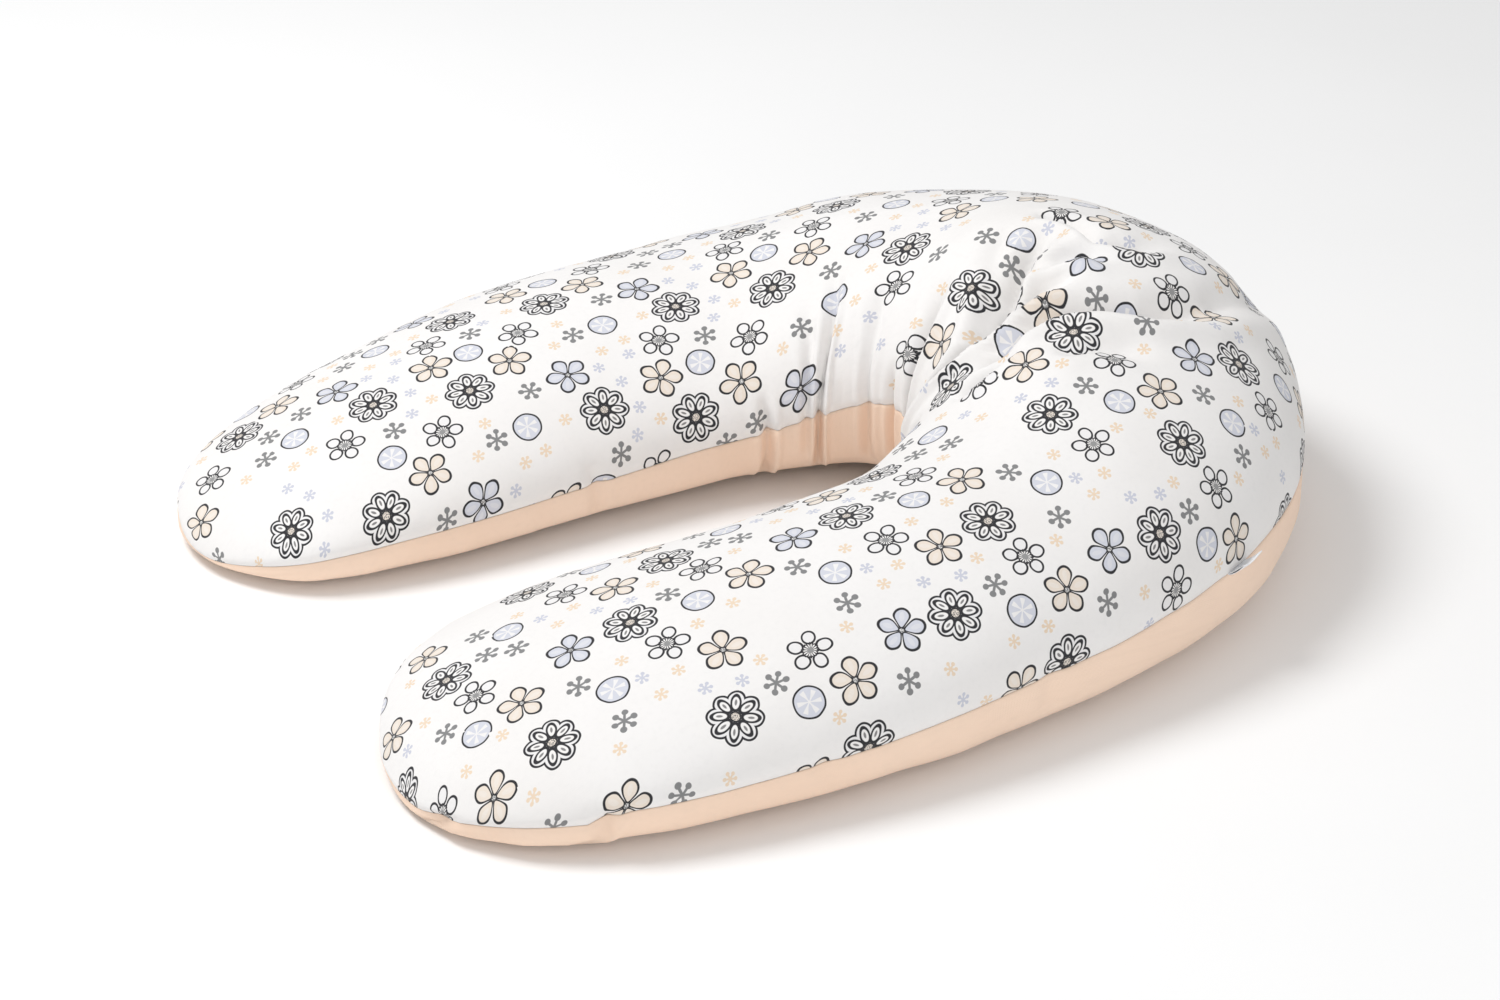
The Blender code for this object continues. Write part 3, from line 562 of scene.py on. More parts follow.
def motif_grid(first, step_along, step_across, turn, seed):
    """Every motif of one arm's lattice as (kind, x, y, turn) on the flat panel, small ones between."""
    draw = random.Random(seed)
    c, s = math.cos(turn), math.sin(turn)
    laid = []
    for kind, at in TILE:
        x, y = at - TILE[0][1]
        laid.append((kind, Vector((first[0] + x * c - y * s, first[1] + x * s + y * c))))
    spread(laid, step_along, step_across)
    tile = [(kind, at.x, at.y) for kind, at in laid]
    for n in range(SMALL_CELLS**2):
        a = (n % SMALL_CELLS + 0.5 + draw.uniform(-0.3, 0.3)) / SMALL_CELLS
        b = (n // SMALL_CELLS + 0.5 + draw.uniform(-0.3, 0.3)) / SMALL_CELLS
        at = step_along * a + step_across * b
        kind = SMALL_BEIGE if draw.random() < 0.52 else SMALL_LILAC
        clear = True
        for other, x, y in tile:
            gap = SMALL_GAP if other >= SMALL_BEIGE else LARGE_GAP
            for i, j in product(range(-4, 5), range(-4, 5)):
                d = at - Vector((x, y)) - step_along * i - step_across * j
                clear = clear and d.length > REACH[other] + REACH[kind] + gap
        if clear:
            tile.append((kind, at.x, at.y))
    every = []
    for (kind, x, y), i, j in product(tile, range(-7, 8), range(-7, 8)):
        at = Vector((x, y)) + step_along * i + step_across * j
        if abs(at.x) < 0.5 and abs(at.y) < 0.45:
            every.append((kind, at.x, at.y, turn + draw.uniform(-MOTIF_TURN, MOTIF_TURN)))
    return every


def flat_places(grid, angles, rows):
    """Each point's place on the flat panel."""
    off = off_crown(grid, angles)
    spots = []
    for arm, side in ((NEAR_ARM, -1), (FAR_ARM, 1)):
        at, heading = centreline(arm, rows_of(arm, *rows))
        at = at * SCALE * (1, side)
        outward = np.stack([heading[:, 1], -heading[:, 0] * side], 1)
        spots.append((at, outward))
    at = np.concatenate([spots[0][0][::-1], spots[1][0][1:]]) + SHIFT
    outward = np.concatenate([spots[0][1][::-1], spots[1][1][1:]])
    return at[:, None, :] + off[..., None] * outward[:, None, :]


def corner_values(mesh, values):
    """Spreads one row of numbers per vertex over the mesh's face corners."""
    corners = np.zeros(len(mesh.loops), np.int32)
    mesh.loops.foreach_get("vertex_index", corners)
    return values.reshape(-1, values.shape[-1])[corners]


def put_map(mesh, name, uv):
    mesh.uv_layers.new(name=name).data.foreach_set("uv", uv.ravel().astype(np.float32))


def lay_maps(mesh, grid, angles, rows):
    """The flat panel's own map, and a second map that lays the two arms in two strips."""
    flat = flat_places(grid, angles, rows)
    put_map(mesh, "lay", corner_values(mesh, flat))
    n, m = grid.shape[:2]
    s = along_of(rows)
    bake = np.zeros((n, m, 2))
    bake[..., 0] = (np.abs(s) / np.abs(s).max())[:, None]
    bake[..., 1] = np.linspace(0, 1, m)[None, :] * STRIP_HEIGHT + STRIP_MARGIN
    uv = corner_values(mesh, bake)
    owner = np.repeat(np.arange(len(mesh.polygons)), 4)
    far = owner // (m - 1) >= n // 2
    uv[far, 1] += STRIP_HEIGHT + 5 * STRIP_MARGIN
    put_map(mesh, "OFBake", uv)
    return flat


def placed_motifs(grid, flat, angles, rows):
    """Each motif that lies on the cloth: its kind, place in the grid's own measure, turn and point."""
    s = along_of(rows)
    off = off_crown(grid, angles)
    middle = len(s) // 2
    cols = grid.shape[1]
    near = motif_grid(ROW_ONE, NEAR_STEP, NEAR_ROW, 0.0, 11)
    far = motif_grid(FAR_FIRST, FAR_STEP, FAR_ROW, FAR_TURN, 12)
    kept = []
    for layout, low, high in ((near, 0, middle + 8), (far, middle + 8, len(s))):
        tree = KDTree((high - low) * cols)
        for i in range(low, high):
            for j in range(cols):
                tree.insert((flat[i, j, 0], flat[i, j, 1], 0), i * cols + j)
        tree.balance()
        for kind, x, y, turn in sorted(layout, key=lambda m: m[0] >= SMALL_BEIGE):
            _, index, gap = tree.find((x, y, 0))
            i, j = divmod(index, cols)
            inside = 0 < j < cols - 1
            if gap > (ON_PANEL if inside else OFF_PANEL) or i <= 1 or i >= len(s) - 2:
                continue
            beside = math.copysign(gap, off[i, j])
            beyond = off[i, j] + (0.0 if inside else beside)
            point = grid[i, j]
            crowded = any(
                np.linalg.norm(point - other) < REACH[kind] + REACH[k] + CROWD_GAP
                for k, _, _, _, other in kept
            )
            if not crowded:
                kept.append((kind, s[i], beyond, turn, point))
    return kept, s, off


def print_maps(mesh, grid, flat, angles, rows):
    """Gives each face its nearest motif, and each corner its true distances from that motif's middle."""
    kept, s, off = placed_motifs(grid, flat, angles, rows)
    middle = len(s) // 2
    step = np.linalg.norm(np.diff(grid, axis=0), axis=2)
    run = np.concatenate([np.zeros((1, grid.shape[1])), np.cumsum(step, 0)])
    run -= run[middle]
    cols = grid.shape[1] - 1
    centre = (grid[:-1, :-1] + grid[1:, :-1] + grid[1:, 1:] + grid[:-1, 1:]) / 4
    tree = KDTree(centre.shape[0] * cols)
    for n, point in enumerate(centre.reshape(-1, 3)):
        tree.insert(point, n)
    tree.balance()
    faces = len(mesh.polygons)
    best = np.full(faces, 1e9)
    kinds = np.zeros(faces)
    local = np.full((faces, 4, 2), NO_MOTIF)
    corner = ((0, 0), (1, 0), (1, 1), (0, 1))
    for kind, s0, off0, turn, point in kept:
        reach = REACH[kind] + PRINT_MARGIN
        c, k = math.cos(turn), math.sin(turn)
        row = np.interp(s0, s, np.arange(len(s)))
        low = min(int(row), len(s) - 2)
        start = run[low] + (run[low + 1] - run[low]) * (row - low)
        for _, n, _ in tree.find_range(point, reach):
            i, j = divmod(n, cols)
            x = [run[i + a, j + b] - start[j + b] for a, b in corner]
            y = [off[i + a, j + b] - off0 for a, b in corner]
            d = math.hypot(sum(x) / 4, sum(y) / 4) - REACH[kind]
            if d < best[n]:
                best[n] = d
                kinds[n] = kind
                for q in range(4):
                    local[n, q] = (x[q] * c - y[q] * k, x[q] * k + y[q] * c)
    local[kinds > 0] *= 1000
    put_map(mesh, "print", local)
    value = mesh.attributes.new("motif", "FLOAT", "FACE")
    value.data.foreach_set("value", kinds.astype(np.float32))


# ===== materials
class Field:
    """A number that varies over a surface, worked out by shader nodes."""

    def __init__(self, tree, socket):
        self.tree = tree
        self.socket = socket

    def math(self, kind, *others):
        node = self.tree.nodes.new("ShaderNodeMath")
        node.operation = kind
        for slot, value in zip(node.inputs, (self, *others)):
            if isinstance(value, Field):
                self.tree.links.new(value.socket, slot)
            else:
                slot.default_value = value
        return Field(self.tree, node.outputs[0])

    __add__ = partialmethod(math, "ADD")
    __sub__ = partialmethod(math, "SUBTRACT")
    __mul__ = partialmethod(math, "MULTIPLY")
    __truediv__ = partialmethod(math, "DIVIDE")
    abs = partialmethod(math, "ABSOLUTE")
    over = partialmethod(math, "MAXIMUM")

    def flip(self):
        return (self * -1.0) + 1.0

    def fade(self, low, high, to_low=0.0, to_high=1.0):
        """Runs smoothly from to_low at low to to_high at high."""
        node = self.tree.nodes.new("ShaderNodeMapRange")
        node.interpolation_type = "SMOOTHSTEP"
        self.tree.links.new(self.socket, node.inputs["Value"])
        names = ("From Min", "From Max", "To Min", "To Max")
        for name, value in zip(names, (low, high, to_low, to_high)):
            node.inputs[name].default_value = value
        return Field(self.tree, node.outputs[0])


class Paint:
    """A Principled material and the nodes that feed it."""

    def __init__(self, name, colour, roughness=0.9, **settings):
        self.material = bpy.data.materials.new(name)
        self.material.use_nodes = True
        self.tree = self.material.node_tree
        self.shader = self.tree.nodes["Principled BSDF"]
        self.shader.inputs["Base Color"].default_value = (*colour, 1)
        self.shader.inputs["Roughness"].default_value = roughness
        for key, value in settings.items():
            self.shader.inputs[key.replace("_", " ")].default_value = value
        self.material.diffuse_color = (*colour, 1)

    def node(self, kind, **settings):
        made = self.tree.nodes.new(kind)
        for key, value in settings.items():
            setattr(made, key, value)
        return made

    def field(self, socket):
        return Field(self.tree, socket)

    def link(self, source, target):
        self.tree.links.new(source.socket if isinstance(source, Field) else source, target)

    def uv(self, name):
        return self.node("ShaderNodeUVMap", uv_map=name).outputs[0]

    def place(self):
        return self.node("ShaderNodeTexCoord").outputs["Object"]

    def split(self, vector):
        node = self.node("ShaderNodeSeparateXYZ")
        self.link(vector, node.inputs[0])
        return [self.field(out) for out in node.outputs]

    def noise(self, scale, detail=2.0, vector=None, output=0):
        node = self.node("ShaderNodeTexNoise")
        self.link(vector or self.place(), node.inputs["Vector"])
        node.inputs["Scale"].default_value = scale
        node.inputs["Detail"].default_value = detail
        return self.field(node.outputs[output])

    def mix(self, share, first, second):
        node = self.node("ShaderNodeMix", data_type="RGBA")
        self.link(share, node.inputs["Factor"])
        for slot, value in ((node.inputs[6], first), (node.inputs[7], second)):
            if isinstance(value, tuple):
                slot.default_value = (*value, 1)
            else:
                self.link(value, slot)
        return node.outputs[2]

    def colour(self, socket):
        self.link(socket, self.shader.inputs["Base Color"])

    def shade(self, share, first, second):
        self.colour(self.mix(share, first, second))

    def bump(self, height, distance, strength=1.0):
        node = self.node("ShaderNodeBump")
        node.inputs["Distance"].default_value = distance
        node.inputs["Strength"].default_value = strength
        self.link(height, node.inputs["Height"])
        self.link(node.outputs[0], self.shader.inputs["Normal"])

    def roughness(self, value):
        self.link(value, self.shader.inputs["Roughness"])


def weave(paint, vector, pitch):
    """Height of a plain weave, 0 to 1, with the yarns pitch apart."""
    x, y, _ = paint.split(vector)
    turn = math.pi / pitch
    a = (x * turn).math("SINE")
    b = (y * turn).math("SINE")
    over = (a * b).fade(-0.5, 0.5)
    return a.abs() * over + b.abs() * over.flip()


def cotton(name, colour, shade, pitch=0.0006, **settings):
    """Plain woven cotton laid by the flat panel's map, with slubs and a little unevenness of dye."""
    paint = Paint(name, colour, 0.88, **settings)
    lay = paint.uv("lay")
    cloud = paint.noise(9.0, 3.0, lay)
    slub = paint.noise(260.0, 2.0, lay)
    paint.cloth = paint.mix(cloud.fade(0.35, 0.7), colour, shade)
    yarn = tuple(c * 0.93 for c in colour)
    paint.cloth = paint.mix(slub.fade(0.45, 0.8, 0.0, 0.35), paint.cloth, yarn)
    paint.bump(weave(paint, lay, pitch) + slub * 0.8, 0.00012, 0.6)
    paint.roughness(slub.fade(0.2, 0.8, 0.80, 0.96))
    paint.colour(paint.cloth)
    return paint


def printed_cotton():
    paint = cotton("printed_cotton_look", (0.855, 0.84, 0.83), (0.835, 0.815, 0.80), Sheen_Weight=0.10)
    lay = paint.uv("lay")
    dx, dy, _ = paint.split(paint.noise(95.0, 1.0, lay, output=1))
    x, y, _ = paint.split(paint.uv("print"))
    x = x + (dx - 0.5) * 1.5
    y = y + (dy - 0.5) * 1.5
    kind = paint.field(paint.node("ShaderNodeAttribute", attribute_name="motif").outputs["Fac"])
    turn = y.math("ARCTAN2", x)

    def length(a, b):
        return (a * a + b * b).math("SQRT")

    r = length(x, y)

    def is_a(code):
        return kind.math("COMPARE", float(code), 0.5)

    def folded(count):
        """Place along and beside the axis of the nearest of count petals."""
        share = turn * (count / (2 * math.pi))
        part = (share - share.math("ROUND")) * (2 * math.pi / count)
        return r * part.math("COSINE"), r * part.math("SINE")

    def oval(px, py, middle, long, wide):
        """About the distance in millimetres from an oval's edge, below 0 inside."""
        return (length((px - middle) / long, py / wide) - 1.0) * min(long, wide)

    def ink(d, half):
        return d.abs().fade(half - 0.16, half + 0.16, 1.0, 0.0)

    def fill(d):
        return d.fade(-0.2, 0.2, 1.0, 0.0)

    inks = {}

    def add(name, value):
        inks[name] = inks[name].over(value) if name in inks else value

    # daisy: a scalloped outline, eight petals with a dark dash in each, and a speckled middle
    px, py = folded(8)
    px = px * 1.05
    py = py * 1.05
    outer = oval(px, py, 11.3, 6.0, 5.4)
    inner = oval(px, py, 9.3, 5.3, 2.75)
    middle = r - 3.0
    dash = oval(px, py, 9.6, 2.0, 0.75)
    outside = fill(inner).flip()
    lines = ink(outer, 0.66) * outside
    lines = lines.over(ink(inner, 0.60))
    lines = lines * fill(middle - 0.3).flip()
    lines = lines.over(ink(middle, 0.50))
    sel = is_a(DAISY)
    add("black", lines * sel)
    add("black", fill(dash) * 0.75 * sel)
    add("lilac", fill(outer) * outside * 0.18 * sel)
    grain = paint.noise(1400.0, 1.0, lay)
    add("beige", fill(middle) * 0.9 * sel)
    add("grey", fill(middle) * grain.fade(0.45, 0.58) * 0.85 * sel)

    # beige and lilac flowers with five petals, and the ringed flower
    px, py = folded(5)
    petal = (length((px - 7.9) / 6.5, py / px.fade(0.0, 11.0, 1.9, 4.9)) - 1.0) * 4.4
    lines = ink(petal, 0.58) * (r.fade(1.0, 1.8))
    core = fill(r - 2.1) * grain.fade(0.4, 0.55)
    shine = oval(px, py, 8.8, 3.4, 1.5)
    for code in (BEIGE, LILAC):
        sel = is_a(code)
        add("black", lines * sel)
        add("grey", core * 0.9 * sel)
        add("beige" if code == BEIGE else "lilac", fill(petal) * (fill(shine) * -0.28 + 1.0) * sel)
    ringed = oval(px, py, 8.8, 4.5, 4.0)
    teeth = (turn * 9.0).math("SINE").abs()
    ring = r - (teeth * 0.9 + 3.9)
    sel = is_a(RING)
    rays = (turn * 14.0).math("SINE").fade(-0.2, 0.5) * fill(r - 4.4) * fill(r - 1.8).flip()
    add("black", ink(ringed, 0.62) * fill(ring).flip() * sel)
    add("black", ink(ring, 0.58) * sel)
    add("black", rays * 0.95 * sel)
    add("lilac", fill(ringed) * 0.15 * sel)
    add("grey", fill(r - 1.9) * 0.75 * sel)

    # disc with a star inside
    px, py = folded(6)
    rim = r - 9.4
    sel = is_a(DISC)
    arm = py.abs() - px.fade(1.0, 7.6, 0.35, 1.5)
    star = fill(arm) * fill(px - 7.2)
    add("black", ink(rim, 0.58) * sel)
    add("lilac", fill(rim) * (star * -0.9 + 1.0) * sel)

    # dark star with round ends, and the two small pale ones
    def knobbed(half, long, middle, radius):
        """A thin arm with a round knob at its end."""
        return (fill(py.abs() - half) * fill(px - long)).over(fill(length(px - middle, py) - radius))

    add("grey", knobbed(0.80, 5.6, 6.0, 1.95) * 0.84 * is_a(STAR))
    small = knobbed(0.55, 3.2, 3.3, 1.15)
    add("peach", small * is_a(SMALL_BEIGE))
    add("smoke", small * is_a(SMALL_LILAC))

    dye = paint.cloth
    for name, colour in (
        ("beige", (0.80, 0.71, 0.62)),
        ("lilac", (0.63, 0.645, 0.715)),
        ("peach", (0.80, 0.645, 0.49)),
        ("smoke", (0.57, 0.585, 0.67)),
        ("grey", (0.10, 0.105, 0.11)),
        ("black", (0.018, 0.018, 0.022)),
    ):
        dye = paint.mix(inks[name], dye, colour)
    paint.colour(dye)
    return paint.material


def peach_cotton():
    paint = cotton("peach_cotton_look", (0.93, 0.715, 0.565), (0.915, 0.685, 0.53), Sheen_Weight=0.10)
    return paint.material


def liner_cotton():
    return cotton("liner_cotton_look", (0.82, 0.81, 0.78), (0.79, 0.775, 0.74)).material


def beads():
    paint = Paint("bead_look", (0.9, 0.9, 0.9), 0.75)
    cells = paint.node("ShaderNodeTexVoronoi")
    paint.link(paint.place(), cells.inputs["Vector"])
    cells.inputs["Scale"].default_value = 330.0
    d = paint.field(cells.outputs["Distance"])
    paint.bump(d.flip(), 0.0012)
    # painted shade between the beads: the colour darkens from each bead's middle towards its edge, where
    # the beads meet
    paint.shade(d.fade(0.2, 0.9), (0.93, 0.93, 0.92), (0.66, 0.66, 0.65))
    return paint.material


def zip_tape_look():
    """Herringbone tape laid round the zip's arc."""
    paint = Paint("zip_tape_look", (0.80, 0.60, 0.43), 0.82, Sheen_Weight=0.1)
    x, y, z = paint.split(paint.place())
    angle = (y - float(ZIP_CENTRE[1])).math("ARCTAN2", x - float(ZIP_CENTRE[0]))
    run = angle * ZIP_RADIUS
    slant = (z - ZIP_HEIGHT).abs()
    twill = ((run + slant) * (2 * math.pi / 0.0011)).math("SINE")
    cord = (slant * (2 * math.pi / 0.0008)).math("SINE")
    # painted shade in the twill's hollows: the colour darkens where the twill's relief is low
    paint.shade(twill.fade(-1, 1), (0.74, 0.53, 0.37), (0.84, 0.64, 0.47))
    paint.bump(twill * 0.5 + cord * 0.3 + 0.8, 0.0001)
    grain = paint.noise(900.0)
    paint.roughness(grain.fade(0.2, 0.8, 0.72, 0.92))
    return paint.material


def coil_look():
    paint = Paint("zip_coil_look", (0.84, 0.66, 0.50), 0.36, Specular_IOR_Level=0.5)
    cloud = paint.noise(700.0)
    paint.shade(cloud.fade(0.3, 0.7), (0.80, 0.61, 0.45), (0.88, 0.71, 0.56))
    paint.roughness(cloud.fade(0.2, 0.8, 0.28, 0.45))
    paint.bump(cloud, 0.00004)
    return paint.material


def zinc_look():
    paint = Paint("zinc_look", (0.66, 0.65, 0.63), 0.32, Metallic=1.0)
    fine = paint.noise(2600.0, 3.0)
    cloud = paint.noise(240.0, 2.0)
    paint.shade(cloud.fade(0.3, 0.7), (0.60, 0.59, 0.57), (0.74, 0.73, 0.71))
    paint.roughness((fine * 0.5 + cloud * 0.5).fade(0.2, 0.8, 0.24, 0.46))
    paint.bump(fine, 0.00003)
    return paint.material


def thread_look(name, colour):
    """Twisted sewing thread."""
    paint = Paint(name, colour, 0.6, Sheen_Weight=0.2)
    x, y, z = paint.split(paint.place())
    twist = ((x + y + z * 2.0) * (2 * math.pi / 0.0007)).math("SINE")
    # painted shade in the grooves of the twist: a darker copy of the thread's colour where the twist's
    # relief is low
    dark = tuple(c * 0.82 for c in colour)
    paint.shade(twist.fade(-1, 1), dark, colour)
    paint.bump(twist, 0.00006)
    fuzz = paint.noise(1500.0)
    paint.roughness(fuzz.fade(0.2, 0.8, 0.5, 0.75))
    return paint.material


def ribbon_look():
    """White satin ribbon with fine ribs across it."""
    paint = Paint("ribbon_look", (0.86, 0.88, 0.92), 0.42, Sheen_Weight=0.15)
    x, y, z = paint.split(paint.place())
    turn = math.radians(TAG_ANGLE)
    run = x * -math.sin(turn) + y * math.cos(turn)
    rib = (run * (2 * math.pi / 0.0006)).math("SINE")
    weft = (z * (2 * math.pi / 0.0005)).math("SINE")
    cloud = paint.noise(300.0)
    paint.shade(cloud.fade(0.3, 0.7), (0.88, 0.90, 0.94), (0.93, 0.94, 0.96))
    paint.bump(rib * 0.5 + weft * 0.3, 0.00005)
    paint.roughness(cloud.fade(0.2, 0.8, 0.36, 0.52))
    return paint.material


# ===== soft pieces
ROW_COUNTS = (ROWS, TIP_ROWS)
TOP_ANGLES = even_angles(0.0, TOP_COLUMNS)
BASE_ANGLES = even_angles(math.pi, BASE_COLUMNS)


def turned_in(grid):
    """True if the grid's own normals point into the pillow."""
    return (normals(grid) * (grid - grid.mean(1, keepdims=True))).sum() < 0


def outward_normals(grid):
    return -normals(grid) if turned_in(grid) else normals(grid)


def tip_fade(grid):
    """0 at the very tips, where every column meets, and 1 from 30 mm of cloth inwards."""
    place = np.arange(len(grid))
    return eased_step(0.0, 9.0, np.minimum(place, place[::-1]))[:, None]


def folded_skin(rows, angles, side):
    """The cover's smooth surface, and the same with its seams, puckers and folds."""
    grid, zone = base_skin(rows, angles, side, (0.0, 0.0))
    relief = cloth_relief(grid, angles, rows, zone) * tip_fade(grid)
    moved = grid + outward_normals(grid) * relief[..., None]
    edge = distances(grid)[0 if side > 0 else 1]
    lower = TIP_DROP * eased_step(*TIP_DROP_START, along_of(rows))[:, None]
    moved[..., 2] -= lower * np.exp(-((edge / TIP_DROP_REACH) ** 2)) * tip_fade(grid)
    moved[..., 2] = np.maximum(moved[..., 2], 0.0)
    return grid, moved


def inner_skin(rows, angles, side, inset):
    """A surface inside the cover that sinks where the cover's creases sink."""
    grid, _ = base_skin(rows, angles, side, inset)
    deep = crease_field(along_of(rows)[:, None], angles[None, :]) * tip_fade(grid)
    moved = grid - outward_normals(grid) * deep[..., None]
    moved[..., 2] = np.maximum(moved[..., 2], INNER_FLOOR)
    return moved


def soft_piece(name, grid, paint, thickness, node):
    obj = linked(name, sheet_mesh(name, grid, not turned_in(grid)), paint)
    weld = obj.modifiers.new("tips", "WELD")
    weld.merge_threshold = WELD
    if thickness:
        shell = obj.modifiers.new("cloth", "SOLIDIFY")
        shell.thickness = thickness
        shell.offset = -1
    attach(obj, "pillow")
    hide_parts(node)
    return obj


def close_seams(top, base):
    """Brings the two panels' edges together at their seams, except along the zip."""
    zone = base_skin(ROW_COUNTS, TOP_ANGLES, 1, (0.0, 0.0))[1]
    near_top, far_top = distances(top)
    near_base, far_base = distances(base)
    for a, b, da, db, weight in (
        (0, -1, near_top, far_base, 1 - zone),
        (-1, 0, far_top, near_base, np.ones(len(zone))),
    ):
        middle = (top[:, a] + base[:, b]) / 2
        for grid, column, d, lift in ((top, a, da, SEAM_SPLIT), (base, b, db, -SEAM_SPLIT)):
            shift = middle - grid[:, column]
            shift[:, 2] += lift
            share = np.exp(-((d / SEAM_CLOSE) ** 2)) * weight[:, None]
            grid += shift[:, None, :] * share[..., None]


PRINT = printed_cotton()
PEACH = peach_cotton()
LINER = liner_cotton()
BEADS = beads()
INNER_ROWS = (84, 12)
INNER_TOP = even_angles(0.0, 50)
INNER_BASE = even_angles(math.pi, 40)

smooth_top, cover_top = folded_skin(ROW_COUNTS, TOP_ANGLES, 1)
smooth_base, cover_base = folded_skin(ROW_COUNTS, BASE_ANGLES, -1)
close_seams(cover_top, cover_base)
top_cover = soft_piece("cover_top_printed", cover_top, PRINT, CLOTH, "cover_top_panel")
flat = lay_maps(top_cover.data, smooth_top, TOP_ANGLES, ROW_COUNTS)
print_maps(top_cover.data, smooth_top, flat, TOP_ANGLES, ROW_COUNTS)
base_cover = soft_piece("cover_base_peach", cover_base, PEACH, CLOTH, "cover_bottom_panel")
lay_maps(base_cover.data, smooth_base, BASE_ANGLES, ROW_COUNTS)
for name, angles, side, node in (
    ("liner_bag_top", INNER_TOP, 1, "liner_top_panel"),
    ("liner_bag_base", INNER_BASE, -1, "liner_bottom_panel"),
):
    grid = inner_skin(INNER_ROWS, angles, side, BAG_INSET)
    bag = soft_piece(name, grid, LINER, BAG_CLOTH, node)
    lay_maps(bag.data, grid, angles, INNER_ROWS)
round_angles = np.concatenate([INNER_TOP, INNER_BASE[1:]])
filling = inner_skin(INNER_ROWS, round_angles, 0, FILL_INSET)
filling[:, -1] = filling[:, 0]
soft_piece("bead_fill", filling, BEADS, 0, "bead_filling")


def seam_thread():
    """The thread that joins the two panels, just inside their edges, from one zip end to the other."""
    sunk = cover_top - outward_normals(smooth_top) * THREAD_SINK
    outer, inner = sunk[:, 0], sunk[:, -1]
    _, angle = about_zip(outer)
    clear = ZIP_EASE + 1.0
    behind = outer[:, 0] < ZIP_CENTRE[0]
    near = outer[(behind & (outer[:, 1] < 0)) | (~behind & (angle < ZIP_FROM - clear))]
    far = outer[(behind & (outer[:, 1] > 0)) | (~behind & (angle > ZIP_TO + clear))]
    points = np.concatenate([near[::-1][:-3], inner[3:-3], far[::-1][3:]])
    paint = thread_look("seam_thread_look", (0.85, 0.62, 0.45))
    wire("seam_thread", [[(*p, 1.0) for p in points]], THREAD_RADIUS, 1, paint, "cover_seam_thread")


def wire(name, runs, radius, sides, paint, node=None):
    """Round wires or threads along runs of points; a run's last value is its width at that point."""
    curve = bpy.data.curves.new(name, "CURVE")
    curve.dimensions = "3D"
    curve.bevel_depth = radius
    curve.bevel_resolution = sides
    curve.use_fill_caps = True
    for run in runs:
        line = curve.splines.new("POLY")
        line.points.add(len(run) - 1)
        for point, (x, y, z, width) in zip(line.points, run):
            point.co = (x, y, z, 1.0)
            point.radius = width
    obj = linked(name, curve, paint)
    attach(obj, "pillow")
    if node:
        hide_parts(node)
    return obj


def coil(name, side, node, paint):
    """One row of the zip: a wire wound round and round, laid along the zip's arc."""
    radius = ZIP_RADIUS - COIL_INSET
    low = math.radians(ZIP_FROM) + COIL_ENDS / radius
    high = math.radians(ZIP_TO) - COIL_ENDS / radius
    turns = round((high - low) * radius / COIL_PITCH)
    run = []
    for k in range(turns * 8 + 1):
        turn = math.pi / 4 * k * side
        angle = low + (high - low) * k / (turns * 8)
        r = radius + (COIL_RADIUS - COIL_WIRE) * math.cos(turn)
        z = ZIP_HEIGHT + side * (COIL_GAP / 2 + COIL_RADIUS) + (COIL_RADIUS - COIL_WIRE) * math.sin(turn)
        run.append((ZIP_CENTRE[0] + r * math.cos(angle), ZIP_CENTRE[1] + r * math.sin(angle), z, 1.0))
    wire(name, [run], COIL_WIRE, 0, paint, node)


def stitching(name, line, out, paint):
    """A row of stitches that holds the zip, laid in the cloth along its hem."""
    _, angle = about_zip(line)
    held = (line[:, 0] > ZIP_CENTRE[0]) & (angle > ZIP_FROM - 1.5) & (angle < ZIP_TO + 1.5)
    line = line[held] + out[held] * STITCH_LIFT
    run = run_along(line)
    stitches = []
    for n in range(int(run[-1] / STITCH_PITCH)):
        start = n * STITCH_PITCH
        at = [start + STITCH_LENGTH * share for share in (0.0, 0.18, 0.5, 0.82, 1.0)]
        points = resample(at, run, line)
        stitches.append([(*p, w) for p, w in zip(points, (0.3, 0.85, 1.0, 0.85, 0.3))])
    wire(name, stitches, STITCH_RADIUS, 1, paint)


def tag():
    """A ribbon folded double and caught in the seam, its free end curling up against the cover."""
    seam = cover_top[:, 0]
    _, angle = about_zip(seam)
    order = np.argsort(angle)
    spots = TAG_ANGLE + np.degrees(np.linspace(-0.5, 0.5, 25) * TAG_WIDTH / TAG_RADIUS)
    root = resample(spots, angle[order], seam[order])
    root[:, 2] -= 0.0004
    turn = math.radians(TAG_ANGLE)
    out = np.array([math.cos(turn), math.sin(turn), 0.0])
    share = np.concatenate([np.linspace(0, 1, 15), np.linspace(1, 0, 15)])
    layer = np.concatenate([np.full(15, -1.0), np.full(15, 1.0)])
    side = np.linspace(-1, 1, 25)[:, None]
    reach = TAG_LENGTH * (0.74 * share - 0.03) + 0.0006 * np.sin(side * 2.2 + 0.6) * share
    rise = TAG_LENGTH * 0.60 * share**1.5 + 0.0011 * np.sin(side * 2.6 - 0.4) * share**2
    gap = 0.0007 * np.sqrt(np.clip(1 - share, 0, 1)) * share**0.3 + 0.0002
    grid = root[:, None, :] + out * (reach - layer * gap * 0.85)[..., None]
    grid[..., 2] += rise + layer * gap * 0.45
    obj = linked("folded_tag", sheet_mesh("folded_tag", grid, False), ribbon_look())
    shell = obj.modifiers.new("ribbon", "SOLIDIFY")
    shell.thickness = RIBBON
    shell.offset = 0
    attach(obj, "pillow")
    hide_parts("side_tag")


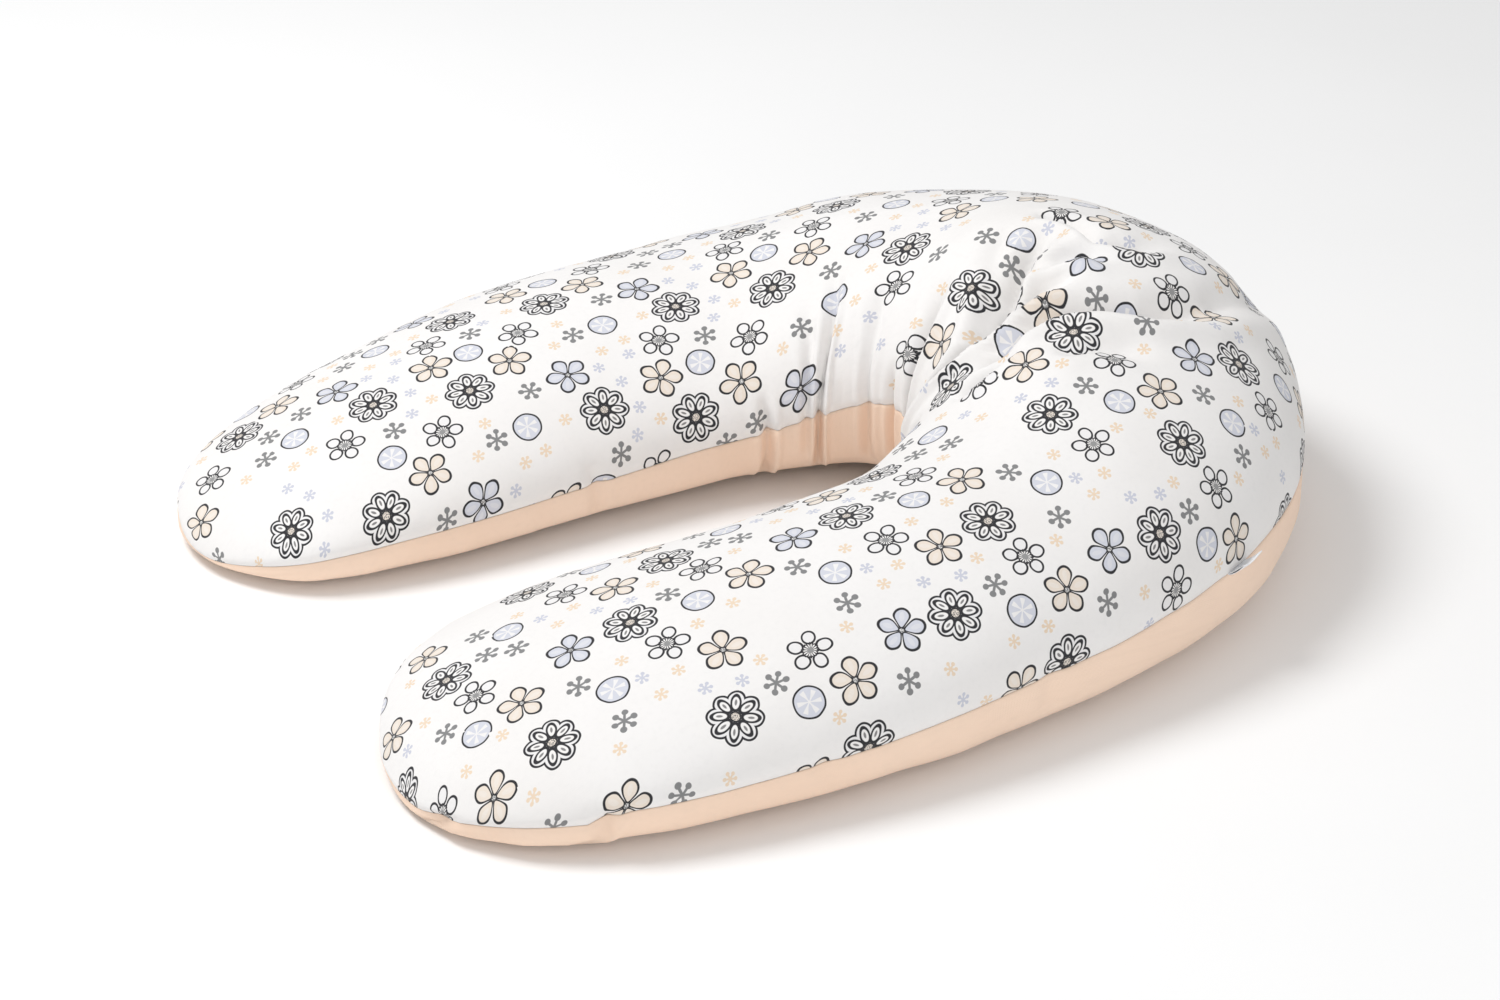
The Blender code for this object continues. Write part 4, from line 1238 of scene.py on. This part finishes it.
seam_thread()
tag()
NYLON = coil_look()
coil("zip_coil_loops_upper", 1, "zip_coil_upper", NYLON)
coil("zip_coil_loops_lower", -1, "zip_coil_lower", NYLON)
stitching(
    "zip_stitching_upper", cover_top[:, 3], outward_normals(smooth_top)[:, 3],
    thread_look("white_thread_look", (0.82, 0.81, 0.79)),
)
stitching(
    "zip_stitching_lower", cover_base[:, -4], outward_normals(smooth_base)[:, -4],
    thread_look("peach_thread_look", (0.88, 0.66, 0.50)),
)

# ----- materials of the CAD pieces that stay
for paint, nodes in (
    (zip_tape_look(), ("zip_tape_upper", "zip_tape_lower")),
    (
        zinc_look(),
        ("zip_slider", "zip_pull_tab", "zip_top_stop_upper", "zip_top_stop_lower", "zip_bottom_stop"),
    ),
):
    for node in nodes:
        NODES[node].data.materials.clear()
        NODES[node].data.materials.append(paint)


# ===== floor, light and camera
def floor():
    mesh = bpy.data.meshes.new("floor")
    size = 12.0
    mesh.from_pydata(
        [(-size, -size, 0), (size, -size, 0), (size, size, 0), (-size, size, 0)], [], [(0, 1, 2, 3)]
    )
    paint = Paint("floor_look", (0.93, 0.93, 0.93), 0.9)
    cloud = paint.noise(3.0)
    paint.shade(cloud.fade(0.3, 0.7), (0.925, 0.925, 0.925), (0.935, 0.935, 0.935))
    obj = linked("floor", mesh, paint.material)


def area_light(name, beside, size, power):
    place = MIDDLE + Vector(beside)
    data = bpy.data.lights.new(name, "AREA")
    data.shape = "DISK"
    data.size = size
    data.energy = power
    obj = bpy.data.objects.new(name, data)
    obj.location = place
    obj.rotation_euler = (MIDDLE - place).to_track_quat("-Z", "Y").to_euler()
    bpy.context.scene.collection.objects.link(obj)


floor()
area_light("key", (-0.9, 0.7, 2.0), 1.1, 33)
area_light("front", (-0.6, -2.2, 1.1), 1.6, 13)
world = bpy.data.worlds.new("studio")
world.use_nodes = True
sky = world.node_tree.nodes["Background"]
sky.inputs["Color"].default_value = (1, 1, 1, 1)
sky.inputs["Strength"].default_value = 0.55
bpy.context.scene.world = world
bpy.context.scene.view_settings.view_transform = "Standard"

VIEW_AZIMUTH = -27.193
VIEW_ELEVATION = 27.765
VIEW_ROLL = -0.656
VIEW_DISTANCE = 2.218
VIEW_AIM = Vector((-0.0249, -0.0090, 0.0381))
LENS = 83.417


def camera():
    az, el, roll = (math.radians(v) for v in (VIEW_AZIMUTH, VIEW_ELEVATION, VIEW_ROLL))
    ahead = Vector((-math.sin(az) * math.cos(el), math.cos(az) * math.cos(el), -math.sin(el)))
    right = Vector((math.cos(az), math.sin(az), 0))
    up = right.cross(ahead)
    across = right * math.cos(roll) + up * math.sin(roll)
    top = -right * math.sin(roll) + up * math.cos(roll)
    data = bpy.data.cameras.new("camera")
    data.sensor_width = 36
    data.lens = LENS
    obj = bpy.data.objects.new("camera", data)
    turn = Matrix((across, top, -ahead)).transposed().to_4x4()
    obj.matrix_world = Matrix.Translation(VIEW_AIM - ahead * VIEW_DISTANCE) @ turn
    bpy.context.scene.collection.objects.link(obj)
    bpy.context.scene.camera = obj


camera()
